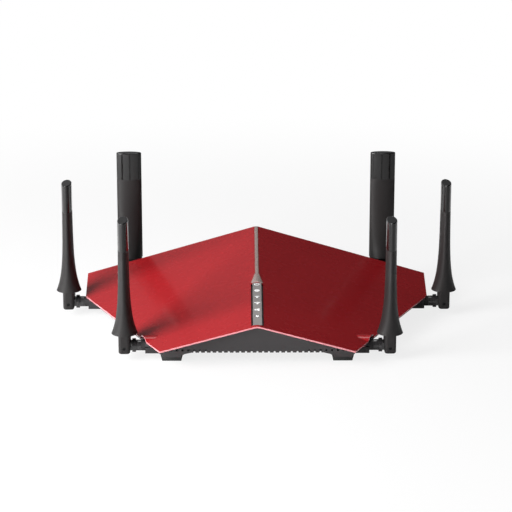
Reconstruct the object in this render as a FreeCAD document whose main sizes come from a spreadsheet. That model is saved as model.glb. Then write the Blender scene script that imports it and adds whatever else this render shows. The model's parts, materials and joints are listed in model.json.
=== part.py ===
# A wireless router: a two-wing roof on a shallow dark casing, with six antennas that swivel and fold.
# Millimetres. X is left to right from the front, Y runs to the rear, Z is up.
# The origin is on the table, under the centre of the object's box.
import FreeCAD, Part
import math
import os
import re
import Sketcher

SIZES = [
    # roof
    ("corner_x", 165.6, "half width of the roof at its side corners"),
    ("corner_y", 33.8, "side corners, behind the origin"),
    ("rear_corner_out", 1.3, "rear corners, further out than the side corners"),
    ("rear_corner_y", 87.0, "rear corners, behind the origin"),
    ("rear_apex_y", 95.1, "rear end of the spine"),
    ("front_corner_x", 88.3, "half width of the front edge"),
    ("front_reach", 130.2, "front edge, before the origin"),
    ("spine_front_z", 42.0, "height of the spine at the front edge"),
    ("corner_z", 17.88, "height of the roof at its side corners"),
    ("spine_rise", 0.1274, "how much the spine rises for each millimetre rearwards"),
    ("cover_thick", 1.4, "thickness of the top cover"),
    ("apex_round", 12.0, "rounding of the spine"),
    ("hood_radius", 9.3, "outside of the hood over a front-side arm"),
    ("hood_wall", 1.4, "thickness of the hood"),
    # casing
    ("floor_z", 7.0, "underside of the casing"),
    ("wall", 2.0, "thickness of the casing"),
    ("shoulder_z", 15.5, "where the side walls turn upright"),
    ("side_inset", 2.0, "upright wall inside the cover's edge"),
    ("side_slant", 8.0, "how far a side wall runs in below its shoulder"),
    ("fascia_in", 16.2, "foot of the front face, behind the roof's front edge"),
    ("fascia_lean", 0.393, "how much the front face leans out for each millimetre up"),
    ("grille_thick", 2.4, "thickness of the front grille"),
    ("rear_face_y", 84.0, "outside of the rear panel"),
    ("rear_thick", 2.0, "thickness of the rear panel"),
    # front grille and chin
    ("tooth_z", 12.0, "lower edge of the grille between the feet"),
    ("tooth_pitch", 5.2, "spacing of the vent teeth"),
    ("tooth_gap", 1.9, "width of a vent notch"),
    ("tooth_rise", 1.6, "height of a vent notch"),
    ("tooth_reach", 60.0, "half length of the toothed edge"),
    ("pod_slope", 10.0, "width of the slope from the toothed edge to a foot"),
    ("chin_rise", 6.5, "how far the underside rises to the front"),
    ("chin_depth", 24.0, "length of that rise"),
    ("vent_radius", 0.95, "round vent holes beside the feet"),
    ("vent_z", 14.6, "height of the round vent holes"),
    ("vent_inner_x", 47.0, "first round vent hole"),
    # feet
    ("foot_side_in", 10.1, "centre of a front foot, inside the front corner"),
    ("foot_in", 26.2, "front of the front feet, behind the roof's front edge"),
    ("foot_rear_y", 76.0, "rear of the rear feet"),
    ("foot_width", 17.4, "width of a foot on the table"),
    ("foot_flare", 1.6, "how much wider a foot is at its top, each side"),
    ("foot_length", 20.0, "length of a foot"),
    ("rear_foot_in", 33.6, "centre of a rear foot, inside the side corner"),
    # spine trim and indicator panel
    ("trim_width", 3.1, "width of the spine strip"),
    ("trim_seat", 0.9, "depth of its groove"),
    ("trim_proud", 0.35, "how far it stands above the cover"),
    ("trim_end_gap", 1.1, "cover left behind the strip"),
    ("arrow_width", 11.0, "width of the arrowhead"),
    ("arrow_tip_y", 15.5, "narrow end of the arrowhead, before the origin"),
    ("arrow_base_y", 35.2, "wide end of the arrowhead, before the origin"),
    ("panel_width", 8.2, "width of the indicator panel"),
    ("panel_in", 4.8, "front end of the panel, behind the roof's front edge"),
    ("panel_sink", 0.7, "top of the panel below the spine line"),
    ("channel_width", 11.4, "width of the channel that the panel lies in"),
    ("channel_depth", 4.0, "depth of the channel below the spine line"),
    ("bezel_wall", 1.6, "wall of the tray that makes the channel"),
    ("mark_first_y", 39.9, "first indicator, before the origin"),
    ("mark_pitch", 13.6, "spacing of the indicators"),
    ("mark_radius", 2.7, "radius of a light window"),
    ("guide_height", 5.0, "height of the light guide"),
    ("board_thin", 1.2, "thickness of the indicator board"),
    # antennas
    ("antenna_rise", 119.1, "top of an antenna above its pivot"),
    ("tip_length", 27.0, "length of the glossy tip"),
    ("skirt_z", 11.9, "lower edge of the flared skirt above the pivot"),
    ("knuckle_drop", 5.4, "lower end of the knuckle below the pivot"),
    ("knuckle_half", 11.6, "half width of the knuckle"),
    ("knuckle_corner", 3.0, "rounding of the knuckle's upright edges"),
    ("knuckle_edge", 2.0, "rounding of the knuckle's lower edge"),
    ("blade_half", 12.3, "half width of the blade"),
    ("blade_thin", 4.85, "half thickness of the blade"),
    ("knuckle_thin", 5.35, "half thickness of the knuckle"),
    ("skirt_flare", 7.1, "how much the skirt adds to the half thickness at its edge"),
    ("skirt_decay", 17.3, "height in which the flare falls to a third"),
    ("blade_wall", 1.7, "wall of the antenna shell"),
    ("cavity_z", 16.0, "floor of the hollow in the shell"),
    ("radiator_width", 14.0, "width of the radiator board"),
    ("radiator_thick", 1.0, "thickness of the radiator board"),
    ("radiator_length", 86.0, "length of the radiator board"),
    ("plug_depth", 5.0, "how far the tip's plug reaches into the shell"),
    # swivel arm, by its distance from the pivot
    ("tongue_half", 5.4, "half width of the tongue"),
    ("tongue_thin", 3.3, "half thickness of the tongue"),
    ("collar_start", 7.0, "near side of the collar"),
    ("collar_end", 10.2, "far side of the collar"),
    ("collar_radius", 6.35, "radius of the collar"),
    ("barrel_radius", 5.0, "radius of the barrel"),
    ("socket_start", 15.0, "outer end of the socket"),
    ("socket_end", 38.35, "inner end of the socket"),
    ("journal_radius", 3.5, "radius of the journal"),
    ("flange_radius", 4.5, "radius of the flange that holds the arm in its socket"),
    ("arm_stop", 1.5, "thickness of that flange"),
    ("lead_bore", 1.3, "radius of the bore for the lead"),
    ("pin_radius", 1.5, "radius of the hinge pin"),
    ("pin_short", 0.5, "how far the pin ends inside the knuckle's face"),
    ("socket_radius", 7.7, "widest radius of a socket"),
    ("socket_block", 8.0, "half width of a socket's block"),
    ("nose_length", 4.0, "straight end of a front socket"),
    ("flare_length", 10.0, "length in which a front socket widens"),
    ("side_nose_length", 6.0, "straight end of a side socket"),
    ("rear_nose_length", 7.0, "straight end of a rear socket"),
    ("rear_socket_extra", 0.8, "how much wider a rear socket is at the panel"),
    # places of the pivots
    ("arm_z", 12.4, "height of the side arms"),
    ("rear_arm_z", 20.9, "height of the rear arms"),
    ("side_pivot_out", 16.2, "rear-side pivots, outside the side corners"),
    ("side_pivot_back", 0.4, "rear-side pivots, behind the side corners"),
    ("front_pivot_out", 16.7, "front-side pivots, outside the roof's edge"),
    ("front_pivot_in", 34.8, "front-side pivots, behind the roof's front edge"),
    ("rear_pivot_in", 39.5, "rear pivots, inside the side corners"),
    # electronics
    ("board_side_in", 53.6, "side edges of the mainboard, inside the side corners"),
    ("board_in", 68.2, "front edge of the mainboard, behind the roof's front edge"),
    ("board_rear_y", 78.0, "rear edge of the mainboard"),
    ("board_z", 14.0, "underside of the mainboard"),
    ("board_thick", 1.6, "thickness of the mainboard"),
    ("port_proud", 0.8, "how far a socket stands out of the rear panel"),
    ("rj_width", 11.9, "width of a network socket's opening"),
    ("rj_height", 8.6, "height of a network socket's opening"),
    ("rj_depth", 14.0, "depth of a network socket"),
    ("rj_pitch", 14.6, "spacing of the network sockets"),
    ("rj_body_height", 13.5, "height of a network jack"),
    ("rj_body_depth", 21.0, "depth of a network jack"),
    ("rj_floor", 2.4, "jack below its opening"),
    ("lan_x", 20.0, "centre of the four network sockets"),
    ("wan_x", -25.0, "centre of the single network socket"),
    ("usb_three_x", -47.0, "faster USB socket"),
    ("usb_two_x", -67.0, "slower USB socket"),
    ("usb_width", 14.5, "width of a USB jack"),
    ("usb_height", 7.0, "height of a USB jack"),
    ("usb_depth", 15.0, "depth of a USB jack"),
    ("usb_wall", 0.7, "wall of a USB jack"),
    ("tongue_thick", 1.9, "thickness of the contact tongue in a USB jack"),
    ("power_x", 70.0, "power inlet"),
    ("jack_width", 9.4, "width of the power inlet"),
    ("jack_height", 11.4, "height of the power inlet"),
    ("jack_depth", 14.0, "depth of the power inlet"),
    ("jack_bore", 3.2, "radius of the power inlet's bore"),
    ("jack_pin", 1.0, "radius of the power inlet's pin"),
    ("button_z", 21.6, "height of the buttons"),
    ("power_button_x", 90.0, "power button"),
    ("power_button_radius", 4.4, "radius of the power button"),
    ("power_travel", 1.5, "travel of the power button"),
    ("wps_x", -85.0, "pairing button"),
    ("wps_radius", 3.2, "radius of the pairing button"),
    ("wps_travel", 0.8, "travel of the pairing button"),
    ("reset_x", -98.0, "reset button"),
    ("reset_radius", 1.6, "radius of the reset button"),
    ("reset_travel", 0.8, "travel of the reset button"),
    ("button_proud", 2.0, "how far a button stands out"),
    ("reset_sunk", 1.0, "how far the reset button lies inside its hole"),
    ("flange_thick", 1.2, "thickness of a button's flange"),
    ("flange_wide", 1.3, "how much wider a button's flange is, each side"),
    ("case_screw_in", 27.6, "rear case screws, inside the side corners"),
    ("case_screw_y", 52.0, "rear case screws"),
    ("screw_side_in", 14.3, "front case screws, inside the front corners"),
    ("screw_front_in", 56.2, "front case screws, behind the roof's front edge"),
    ("case_screw_z", 10.0, "seat of the case screws' heads"),
    ("case_post_z", 12.0, "top of the case screws' posts"),
    ("screw_radius", 1.5, "thread of the case screws"),
    ("small_screw_radius", 1.25, "thread of the board screws"),
    ("floor_vent_pitch", 9.0, "spacing of the slots in the floor"),
    ("floor_vent_half", 26.0, "half length of a slot in the floor"),
    ("floor_vent_gap", 2.5, "width of a slot in the floor"),
    # what stands on the mainboard
    ("chip_half", 11.0, "half width of the processor"),
    ("chip_thick", 2.0, "thickness of the processor"),
    ("sink_half_x", 30.0, "half width of the heat sink"),
    ("sink_half_y", 22.0, "half length of the heat sink"),
    ("sink_base", 3.0, "thickness of the heat sink's base"),
    ("sink_rise", 14.0, "height of the heat sink"),
    ("fin_thick", 1.4, "thickness of a fin"),
    ("can_near_x", 45.0, "inner side of the two side cans"),
    ("can_far_x", 85.0, "outer side of the two side cans"),
    ("can_low_y", 9.0, "front of the two side cans, before the origin"),
    ("can_high_y", 25.0, "rear of the two side cans"),
    ("front_can_half", 20.0, "half width of the front can"),
    ("front_can_far", 52.0, "front of the front can, before the origin"),
    ("front_can_near", 28.0, "rear of the front can, before the origin"),
    ("can_rise", 3.2, "height of a can"),
    ("cap_radius", 4.0, "radius of a capacitor"),
    ("cap_rise", 10.0, "height of a capacitor"),
    ("cap_x", 72.0, "first capacitor"),
    ("cap_y", 52.0, "row of capacitors"),
    ("switch_half", 3.5, "half width of a push switch"),
    ("switch_depth", 5.8, "depth of a push switch"),
    ("plunger_radius", 1.4, "radius of a push switch's plunger"),
    ("plunger_length", 3.0, "length of a push switch's plunger"),
    ("lead_radius", 0.65, "radius of a lead"),
    # clearances
    ("fit", 0.15, "between a moving piece and its seat"),
    ("running", 0.05, "radial clearance of a journal or pin"),
    ("gap", 0.3, "around a piece in its opening"),
]

doc = FreeCAD.newDocument("router")
sizes = doc.addObject("Spreadsheet::Sheet", "Sizes")
for row, (alias, size, note) in enumerate(SIZES, 1):
    sizes.set(f"A{row}", note)
    sizes.set(f"B{row}", str(size))
    sizes.setAlias(f"B{row}", alias)
doc.recompute()
ALIASES = {alias for alias, _, _ in SIZES}
# sizes that follow from others, so that the pivots, feet, board and screws keep their places under the roof
TIED = {
    "side_slope": "(corner_x - front_corner_x) / (corner_y + front_reach)",
    "wing_fall": "(spine_front_z + spine_rise * (corner_y + front_reach) - corner_z) / corner_x",
    "rear_corner_x": "corner_x + rear_corner_out",
    "fascia_reach": "front_reach - fascia_in",
    "panel_front_y": "front_reach - panel_in",
    "foot_x": "front_corner_x - foot_side_in",
    "foot_front_y": "front_reach - foot_in",
    "rear_foot_x": "corner_x - rear_foot_in",
    "front_pivot_x": "front_corner_x + side_slope * front_pivot_in + front_pivot_out",
    "front_pivot_y": "front_reach - front_pivot_in",
    "side_pivot_x": "corner_x + side_pivot_out",
    "side_pivot_y": "corner_y + side_pivot_back",
    "rear_pivot_x": "corner_x - rear_pivot_in",
    "board_half": "corner_x - board_side_in",
    "board_front_y": "front_reach - board_in",
    "case_screw_x": "corner_x - case_screw_in",
    "case_screw_front_x": "front_corner_x - screw_side_in",
    "case_screw_front_y": "front_reach - screw_front_in",
}
nodes = []


# ---- helpers ----
def expression(text):
    """The text as an expression of the document: a tied size is written out, and any other name of a size
    points to its cell."""
    def cell(word):
        name = word.group(0)
        if name in TIED:
            return f"({expression(TIED[name])})"
        return "Sizes." + name if name in ALIASES else name
    return re.sub(r"[a-z][a-z_]*", cell, str(text))


def number(text):
    """What an expression comes to at the present sizes."""
    result = sizes.evalExpression(expression(text))
    return float(getattr(result, "Value", result))


def bind(thing, settings):
    for name, text in settings.items():
        thing.setExpression(name, expression(text))
    return thing


def place(thing, x="0", y="0", z="0"):
    return bind(thing, {"Placement.Base.x": x, "Placement.Base.y": y, "Placement.Base.z": z})


def node(thing, label):
    """Marks an object of the document as one finished sub-part."""
    thing.Label = label
    nodes.append(thing)
    return thing


def box(name, x, y, z):
    """A box from three pairs of expressions, the low and the high end along each axis."""
    thing = doc.addObject("Part::Box", name)
    bind(thing, {"Length": f"({x[1]}) - ({x[0]})", "Width": f"({y[1]}) - ({y[0]})",
                 "Height": f"({z[1]}) - ({z[0]})"})
    return place(thing, x[0], y[0], z[0])


TURNS = {
    "z": FreeCAD.Rotation(),
    "x": FreeCAD.Rotation(FreeCAD.Vector(0, 1, 0), 90),
    "y": FreeCAD.Rotation(FreeCAD.Vector(1, 0, 0), -90),
    "-x": FreeCAD.Rotation(FreeCAD.Vector(0, 1, 0), -90),
    "-y": FreeCAD.Rotation(FreeCAD.Vector(1, 0, 0), 90),
}


def cylinder(name, radius, length, axis="z", at=("0", "0", "0")):
    thing = doc.addObject("Part::Cylinder", name)
    thing.Placement.Rotation = TURNS[axis]
    bind(thing, {"Radius": radius, "Height": length})
    return place(thing, *at)


def cone(name, near, far, length, axis="z", at=("0", "0", "0")):
    thing = doc.addObject("Part::Cone", name)
    thing.Placement.Rotation = TURNS[axis]
    bind(thing, {"Radius1": near, "Radius2": far, "Height": length})
    return place(thing, *at)


def cut(name, base, tool):
    thing = doc.addObject("Part::Cut", name)
    thing.Base = base
    thing.Tool = tool
    return thing


def fuse(name, parts):
    thing = doc.addObject("Part::MultiFuse", name)
    thing.Shapes = parts
    return thing


def common(name, parts):
    thing = doc.addObject("Part::MultiCommon", name)
    thing.Shapes = parts
    return thing


def group(name, parts):
    """Separate solids in one node."""
    thing = doc.addObject("Part::Compound", name)
    thing.Links = parts
    return thing


PLANES = {
    "XY": FreeCAD.Rotation(),
    "XZ": FreeCAD.Rotation(FreeCAD.Vector(1, 0, 0), 90),
    "YZ": FreeCAD.Rotation(FreeCAD.Vector(1, 1, 1), 120),
}


def outline(name, corners, plane="XY", at=("0", "0", "0")):
    """A closed sketch. A corner is two expressions, and a third one makes the side after it an arc of that
    radius, which bulges towards the sketch's upper side."""
    sketch = doc.addObject("Sketcher::SketchObject", name)
    sketch.Placement.Rotation = PLANES[plane]
    place(sketch, *at)
    points = [FreeCAD.Vector(number(corner[0]), number(corner[1]), 0) for corner in corners]
    ends = []
    for i, start in enumerate(points):
        end = points[(i + 1) % len(points)]
        if len(corners[i]) == 3:
            radius = number(corners[i][2])
            crown = radius - math.sqrt(radius ** 2 - ((end - start).Length / 2) ** 2)
            middle = (start + end) / 2 + FreeCAD.Vector(0, crown, 0)
            sketch.addGeometry(Part.Arc(start, middle, end), False)
            forward = sketch.getPoint(i, 1).distanceToPoint(start) < sketch.getPoint(i, 2).distanceToPoint(start)
            ends.append((1, 2) if forward else (2, 1))
        else:
            sketch.addGeometry(Part.LineSegment(start, end), False)
            ends.append((1, 2))
    for i, corner in enumerate(corners):
        after = (i + 1) % len(corners)
        sketch.addConstraint(Sketcher.Constraint("Coincident", i, ends[i][1], after, ends[after][0]))
        for kind, letter, text, value in (("DistanceX", "u", corner[0], points[i].x),
                                          ("DistanceY", "v", corner[1], points[i].y)):
            index = sketch.addConstraint(Sketcher.Constraint(kind, -1, 1, i, ends[i][0], value))
            sketch.renameConstraint(index, f"{letter}{i}")
            bind(sketch, {f".Constraints.{letter}{i}": text})
        if len(corner) == 3:
            index = sketch.addConstraint(Sketcher.Constraint("Radius", i, number(corner[2])))
            sketch.renameConstraint(index, f"round{i}")
            bind(sketch, {f".Constraints.round{i}": corner[2]})
    return sketch


def extrude(name, sketch, length, direction=(0, 0, 1), back="0"):
    thing = doc.addObject("Part::Extrusion", name)
    thing.Base = sketch
    thing.DirMode = "Custom"
    thing.Dir = FreeCAD.Vector(*direction)
    thing.Solid = True
    return bind(thing, {"LengthFwd": length, "LengthRev": back})


def pad(label, corners, z, thick):
    """A plate as a body: a sketch on its base plane, padded upwards."""
    body = doc.addObject("PartDesign::Body", label + "_body")
    place(body, z=z)
    sketch = body.newObject("Sketcher::SketchObject", label + "_sketch")
    base = next(f for f in body.Origin.OriginFeatures if f.Role == "XY_Plane")
    sketch.AttachmentSupport = (base, [""])
    sketch.MapMode = "FlatFace"
    points = [FreeCAD.Vector(number(u), number(v), 0) for u, v in corners]
    for i, start in enumerate(points):
        sketch.addGeometry(Part.LineSegment(start, points[(i + 1) % len(points)]), False)
    for i, (u, v) in enumerate(corners):
        sketch.addConstraint(Sketcher.Constraint("Coincident", i, 2, (i + 1) % len(corners), 1))
        across = sketch.addConstraint(Sketcher.Constraint("DistanceX", -1, 1, i, 1, points[i].x))
        along = sketch.addConstraint(Sketcher.Constraint("DistanceY", -1, 1, i, 1, points[i].y))
        bind(sketch, {f"Constraints[{across}]": u, f"Constraints[{along}]": v})
    plate = body.newObject("PartDesign::Pad", label + "_pad")
    plate.Profile = sketch
    bind(plate, {"Length": thick})
    return body


# ---- shared geometry, as expressions ----
SIDE_STRETCH = "sqrt(1 + side_slope * side_slope)"
SPINE_ANGLE = "atan(spine_rise)"
ROUND_HALF = "(apex_round * sin(atan(wing_fall)))"
BEYOND = "40"   # how far construction solids run past the object
TALL = "120"    # height of construction solids
REAR_PIVOT_Y = "(front_reach - blade_thin - skirt_flare)"
BOARD_TOP = "(board_z + board_thick)"
REAR_INNER_Y = "(rear_face_y - rear_thick)"


def spine_z(y):
    return f"(spine_front_z + spine_rise * (({y}) + front_reach))"


def fascia_y(z):
    return f"(-fascia_reach - fascia_lean * (({z}) - floor_z))"


def roof_slab(name, top, bottom=None):
    """What lies between two copies of the roof's surface, moved up by top and by bottom, or everything below
    the first one."""
    span = f"(rear_corner_x + {BEYOND})"

    def height(x, lift):
        return f"spine_front_z + ({lift}) - wing_fall * {x}"
    corners = [
        (f"-{span}", height(span, top)),
        (f"-{ROUND_HALF}", height(ROUND_HALF, top), "apex_round"),
        (ROUND_HALF, height(ROUND_HALF, top)),
        (span, height(span, top)),
    ]
    if bottom is None:
        corners += [(span, f"-{TALL}"), (f"-{span}", f"-{TALL}")]
    else:
        corners += [
            (span, height(span, bottom)),
            (ROUND_HALF, height(ROUND_HALF, bottom), "apex_round"),
            (f"-{ROUND_HALF}", height(ROUND_HALF, bottom)),
            (f"-{span}", height(span, bottom)),
        ]
    profile = outline(name + "_profile", corners, "XZ", ("0", "-front_reach", "0"))
    slab = extrude(name, profile, f"(front_reach + rear_apex_y + {BEYOND}) / cos({SPINE_ANGLE})", back=BEYOND)
    return bind(slab, {"Dir.y": f"cos({SPINE_ANGLE})", "Dir.z": f"sin({SPINE_ANGLE})"})


def casing_ring(inset, front, rear):
    """The casing's outline at one level, inset from the roof's edge."""
    front_x = f"(front_corner_x + side_slope * (({front}) + front_reach) - ({inset}) * {SIDE_STRETCH})"
    corner_y = f"(corner_y + ({inset}) * ({SIDE_STRETCH} - 1) / side_slope)"
    side_x = f"(corner_x - ({inset}))"
    right = [(front_x, front), (side_x, corner_y), (side_x, rear)]
    return right + [(f"-{x}", y) for x, y in reversed(right)]


def casing_solid(name, skin, low, front_skin, rear):
    """The casing's outside, or its inside if skin is the wall's thickness: two lofts, slanted and upright."""
    levels = [(low, f"side_inset + side_slant * (shoulder_z - {low}) / (shoulder_z - floor_z) + {skin}"),
              ("shoulder_z", f"side_inset + {skin}"), (TALL, f"side_inset + {skin}")]
    rings = []
    for i, (z, inset) in enumerate(levels):
        front = f"({fascia_y(z)} + {front_skin})"
        rings.append(outline(f"{name}_ring{i}", casing_ring(inset, front, rear), at=("0", "0", z)))
    parts = []
    for i in (0, 1):
        part = doc.addObject("Part::Loft", f"{name}_loft{i}")
        part.Sections = rings[i:i + 2]
        part.Solid = True
        part.Ruled = True
        parts.append(part)
    return fuse(name, parts)


def spine_box(name, width, front, rear, top, bottom):
    """A box that lies along the spine, between two levels from the spine's line."""
    thing = doc.addObject("Part::Box", name)
    thing.Placement.Rotation = FreeCAD.Rotation(FreeCAD.Vector(1, 0, 0), 5)
    bind(thing, {"Length": width, "Width": f"(({rear}) - ({front})) / cos({SPINE_ANGLE})",
                 "Height": f"(({top}) - ({bottom})) * cos({SPINE_ANGLE})", "Placement.Rotation.Angle": SPINE_ANGLE})
    return place(thing, f"-({width}) / 2", front, f"{spine_z(front)} + ({bottom})")


# ---- construction solids of the casing ----
under_cover = roof_slab("under_cover", "-cover_thick")
casing_outer = casing_solid("casing_outer", "0", "floor_z", "0", "rear_face_y")
casing_inner = casing_solid("casing_inner", "wall", "(floor_z + wall)", "grille_thick", REAR_INNER_Y)


def chin(name, lift):
    """The space under the raised front of the underside, between the feet."""
    low, high = "floor_z - 3", "floor_z + chin_rise"
    slope = "pod_slope / chin_rise"
    far = f"tooth_reach + ({slope}) * ({high} - ({low}))"
    across = outline(name + "_across", [
        (f"-({far})", f"{low} + {lift}"), (far, f"{low} + {lift}"),
        ("tooth_reach", f"{high} + {lift}"), ("-tooth_reach", f"{high} + {lift}")], "XZ")
    along = outline(name + "_along", [
        (f"-fascia_reach - {BEYOND}", f"{low} + {lift}"),
        ("-fascia_reach + chin_depth", f"{low} + {lift}"),
        ("-fascia_reach + chin_depth", f"floor_z + {lift}"),
        ("-fascia_reach", f"{high} + {lift}"),
        (f"-fascia_reach - {BEYOND}", f"{high} + {lift}")], "YZ")
    return common(name, [
        extrude(name + "_width", across, f"fascia_reach + {BEYOND}", (0, -1, 0)),
        extrude(name + "_length", along, f"2 * {TALL}", (1, 0, 0), f"2 * {TALL}")])


chin_space = chin("chin_space", "0")
chin_inside = chin("chin_inside", "wall")


def leaning_slab(name, near, far):
    """What lies between two planes parallel to the front face, moved back by near and by far."""
    low, high = "0", TALL
    side = outline(name + "_side", [
        (f"{fascia_y(low)} + {near}", low), (f"{fascia_y(low)} + {far}", low),
        (f"{fascia_y(high)} + {far}", high), (f"{fascia_y(high)} + {near}", high)], "YZ")
    return extrude(name, side, f"2 * {TALL}", (1, 0, 0), f"2 * {TALL}")


# ---- places of the six antennas ----
# name, pivot, direction from the pivot into the casing
PLACES = [
    ("front_left", ("-front_pivot_x", "-front_pivot_y", "arm_z"), "x"),
    ("front_right", ("front_pivot_x", "-front_pivot_y", "arm_z"), "-x"),
    ("side_left", ("-side_pivot_x", "side_pivot_y", "arm_z"), "x"),
    ("side_right", ("side_pivot_x", "side_pivot_y", "arm_z"), "-x"),
    ("rear_left", ("-rear_pivot_x", REAR_PIVOT_Y, "rear_arm_z"), "-y"),
    ("rear_right", ("rear_pivot_x", REAR_PIVOT_Y, "rear_arm_z"), "-y"),
]
STEPS = {"x": (0, 1), "-x": (0, -1), "-y": (1, -1)}


def station(pivot, inward, distance):
    """The point on an arm's axis at a distance from its pivot."""
    axis, sign = STEPS[inward]
    point = list(pivot)
    point[axis] = f"({pivot[axis]}) + ({sign}) * ({distance})"
    return tuple(point)


def socket_round(name, pivot, inward, stations):
    """Round socket of an arm: cones between (distance, radius) pairs."""
    parts = []
    for i, ((start, near), (end, far)) in enumerate(zip(stations, stations[1:])):
        at = station(pivot, inward, start)
        if near == far:
            parts.append(cylinder(f"{name}_{i}", near, f"({end}) - ({start})", inward, at))
        else:
            parts.append(cone(f"{name}_{i}", near, far, f"({end}) - ({start})", inward, at))
    return parts


def socket_bore(name, pivot, inward):
    return cylinder(name, "journal_radius + running", f"socket_end + {BEYOND} - collar_end", inward,
                    station(pivot, inward, "collar_end"))


# ---- top cover ----
cover_plan = outline("cover_plan", [
    ("front_corner_x", "-front_reach"), ("corner_x", "corner_y"), ("rear_corner_x", "rear_corner_y"),
    ("0", "rear_apex_y"), ("-rear_corner_x", "rear_corner_y"), ("-corner_x", "corner_y"),
    ("-front_corner_x", "-front_reach")])
cover_prism = extrude("cover_prism", cover_plan, TALL)
cover_sheet = common("cover_sheet", [roof_slab("cover_slab", "0", "-cover_thick"), cover_prism])
hood_length = "(front_pivot_x - socket_start)"
hood_at = (f"-{hood_length}", "-front_pivot_y", "arm_z")
hood_bar = cylinder("hood_bar", "hood_radius", f"2 * {hood_length}", "x", hood_at)
hood_above = cut("hood_above", common("hood_trimmed", [hood_bar, cover_prism]), under_cover)
hood_space = fuse("hood_space", [
    cylinder(f"hood_space_{name}", "hood_radius - hood_wall", f"socket_end - socket_start + {BEYOND}",
             inward, station(pivot, inward, f"socket_start - {BEYOND}"))
    for name, pivot, inward in PLACES[:2]])


def trim_plan(name, room):
    """The strip and its arrowhead in plan, made larger by room."""
    half, wide = f"(trim_width / 2 + {room})", f"(arrow_width / 2 + {room})"
    return outline(name, [
        (half, f"rear_apex_y - trim_end_gap + {room}"), (f"-{half}", f"rear_apex_y - trim_end_gap + {room}"),
        (f"-{half}", "-arrow_tip_y"), (f"-{wide}", f"-arrow_base_y - {room}"),
        (wide, f"-arrow_base_y - {room}"), (half, "-arrow_tip_y")])


trim_groove = common("trim_groove", [
    extrude("trim_groove_prism", trim_plan("trim_groove_plan", "fit"), TALL),
    roof_slab("trim_groove_slab", "hood_radius", "-trim_seat")])
panel_slot = spine_box("panel_slot", "channel_width", "-panel_front_y - gap", "-arrow_base_y - gap",
                       "channel_depth", "-channel_depth - wall")
CASE_SCREWS = [("-case_screw_x", "case_screw_y"), ("case_screw_x", "case_screw_y"),
               ("-case_screw_front_x", "-case_screw_front_y"), ("case_screw_front_x", "-case_screw_front_y")]
cover_posts = cut(
    "cover_posts",
    common("cover_posts_trimmed", [under_cover, fuse("cover_post_bars", [
        cylinder(f"cover_post{i}", "2.6 * screw_radius", TALL, at=(x, y, "case_post_z"))
        for i, (x, y) in enumerate(CASE_SCREWS)])]),
    fuse("cover_pilots", [
        cylinder(f"cover_pilot{i}", "screw_radius", "6 * screw_radius", at=(x, y, "case_post_z"))
        for i, (x, y) in enumerate(CASE_SCREWS)]))
node(cut("cover_cut",
         fuse("cover_solid", [cover_sheet, hood_above, cover_posts]),
         fuse("cover_tools", [hood_space, trim_groove, panel_slot])), "top_cover")

# ---- spine trim, indicator panel and what lies under it ----
node(common("trim_solid", [
    extrude("trim_prism", trim_plan("trim_plan", "0"), TALL),
    roof_slab("trim_slab", "trim_proud", "-trim_seat")]), "spine_trim")
MARKS = [f"-mark_first_y - {i} * mark_pitch" for i in range(6)]


def on_spine(name, radius, y, top, bottom):
    """A small round bar square to the spine, between two levels from the spine's line."""
    thing = doc.addObject("Part::Cylinder", name)
    thing.Placement.Rotation = FreeCAD.Rotation(FreeCAD.Vector(1, 0, 0), 5)
    bind(thing, {"Radius": radius, "Height": f"(({top}) - ({bottom})) * cos({SPINE_ANGLE})",
                 "Placement.Rotation.Angle": SPINE_ANGLE})
    sunk = f"({bottom}) * cos({SPINE_ANGLE})"
    return place(thing, "0", f"({y}) - {sunk} * sin({SPINE_ANGLE})", f"{spine_z(y)} + {sunk} * cos({SPINE_ANGLE})")


def windows(name, top, bottom, radius="mark_radius"):
    return [on_spine(f"{name}{i}", radius, y, top, bottom) for i, y in enumerate(MARKS)]


panel_bar = spine_box("panel_bar", "panel_width", "-panel_front_y", "-arrow_base_y - 2 * gap",
                      "-panel_sink", "-channel_depth")
panel_holes = windows("panel_hole", "wall", "-channel_depth - wall", "mark_radius + fit")
node(cut("panel_cut", panel_bar, fuse("panel_holes", panel_holes)), "led_panel")
node(group("windows", windows("window", "-panel_sink", "-channel_depth")), "led_windows")
BEZEL_FLOOR = "(channel_depth + bezel_wall)"
bezel_bar = common("bezel_bar", [under_cover, spine_box(
    "bezel_block", "channel_width + 2 * bezel_wall", "-panel_front_y", "-arrow_base_y + bezel_wall",
    "0", f"-{BEZEL_FLOOR}")])
bezel_room = spine_box("bezel_room", "channel_width", "-panel_front_y - wall", "-arrow_base_y - gap",
                       "wall", "-channel_depth")
bezel_holes = windows("bezel_hole", "0", f"-{BEZEL_FLOOR} - wall", "mark_radius + fit")
node(cut("bezel_cut", bezel_bar, fuse("bezel_tools", [bezel_room] + bezel_holes)), "led_bezel")
guide_rail = spine_box("guide_rail", "channel_width", f"{MARKS[5]} - 2 * mark_radius",
                       f"{MARKS[0]} + 1.2 * mark_radius", f"-{BEZEL_FLOOR}", f"-{BEZEL_FLOOR} - guide_height")
node(fuse("guide_solid", [guide_rail] + windows("guide_post", "-channel_depth", f"-{BEZEL_FLOOR} - 1")),
     "light_guide")
node(spine_box("indicator_board", "channel_width + 4", f"{MARKS[5]} - 2 * mark_radius",
               f"{MARKS[0]} + 1.2 * mark_radius", f"-{BEZEL_FLOOR} - guide_height",
               f"-{BEZEL_FLOOR} - guide_height - board_thin"), "led_board")

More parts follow.
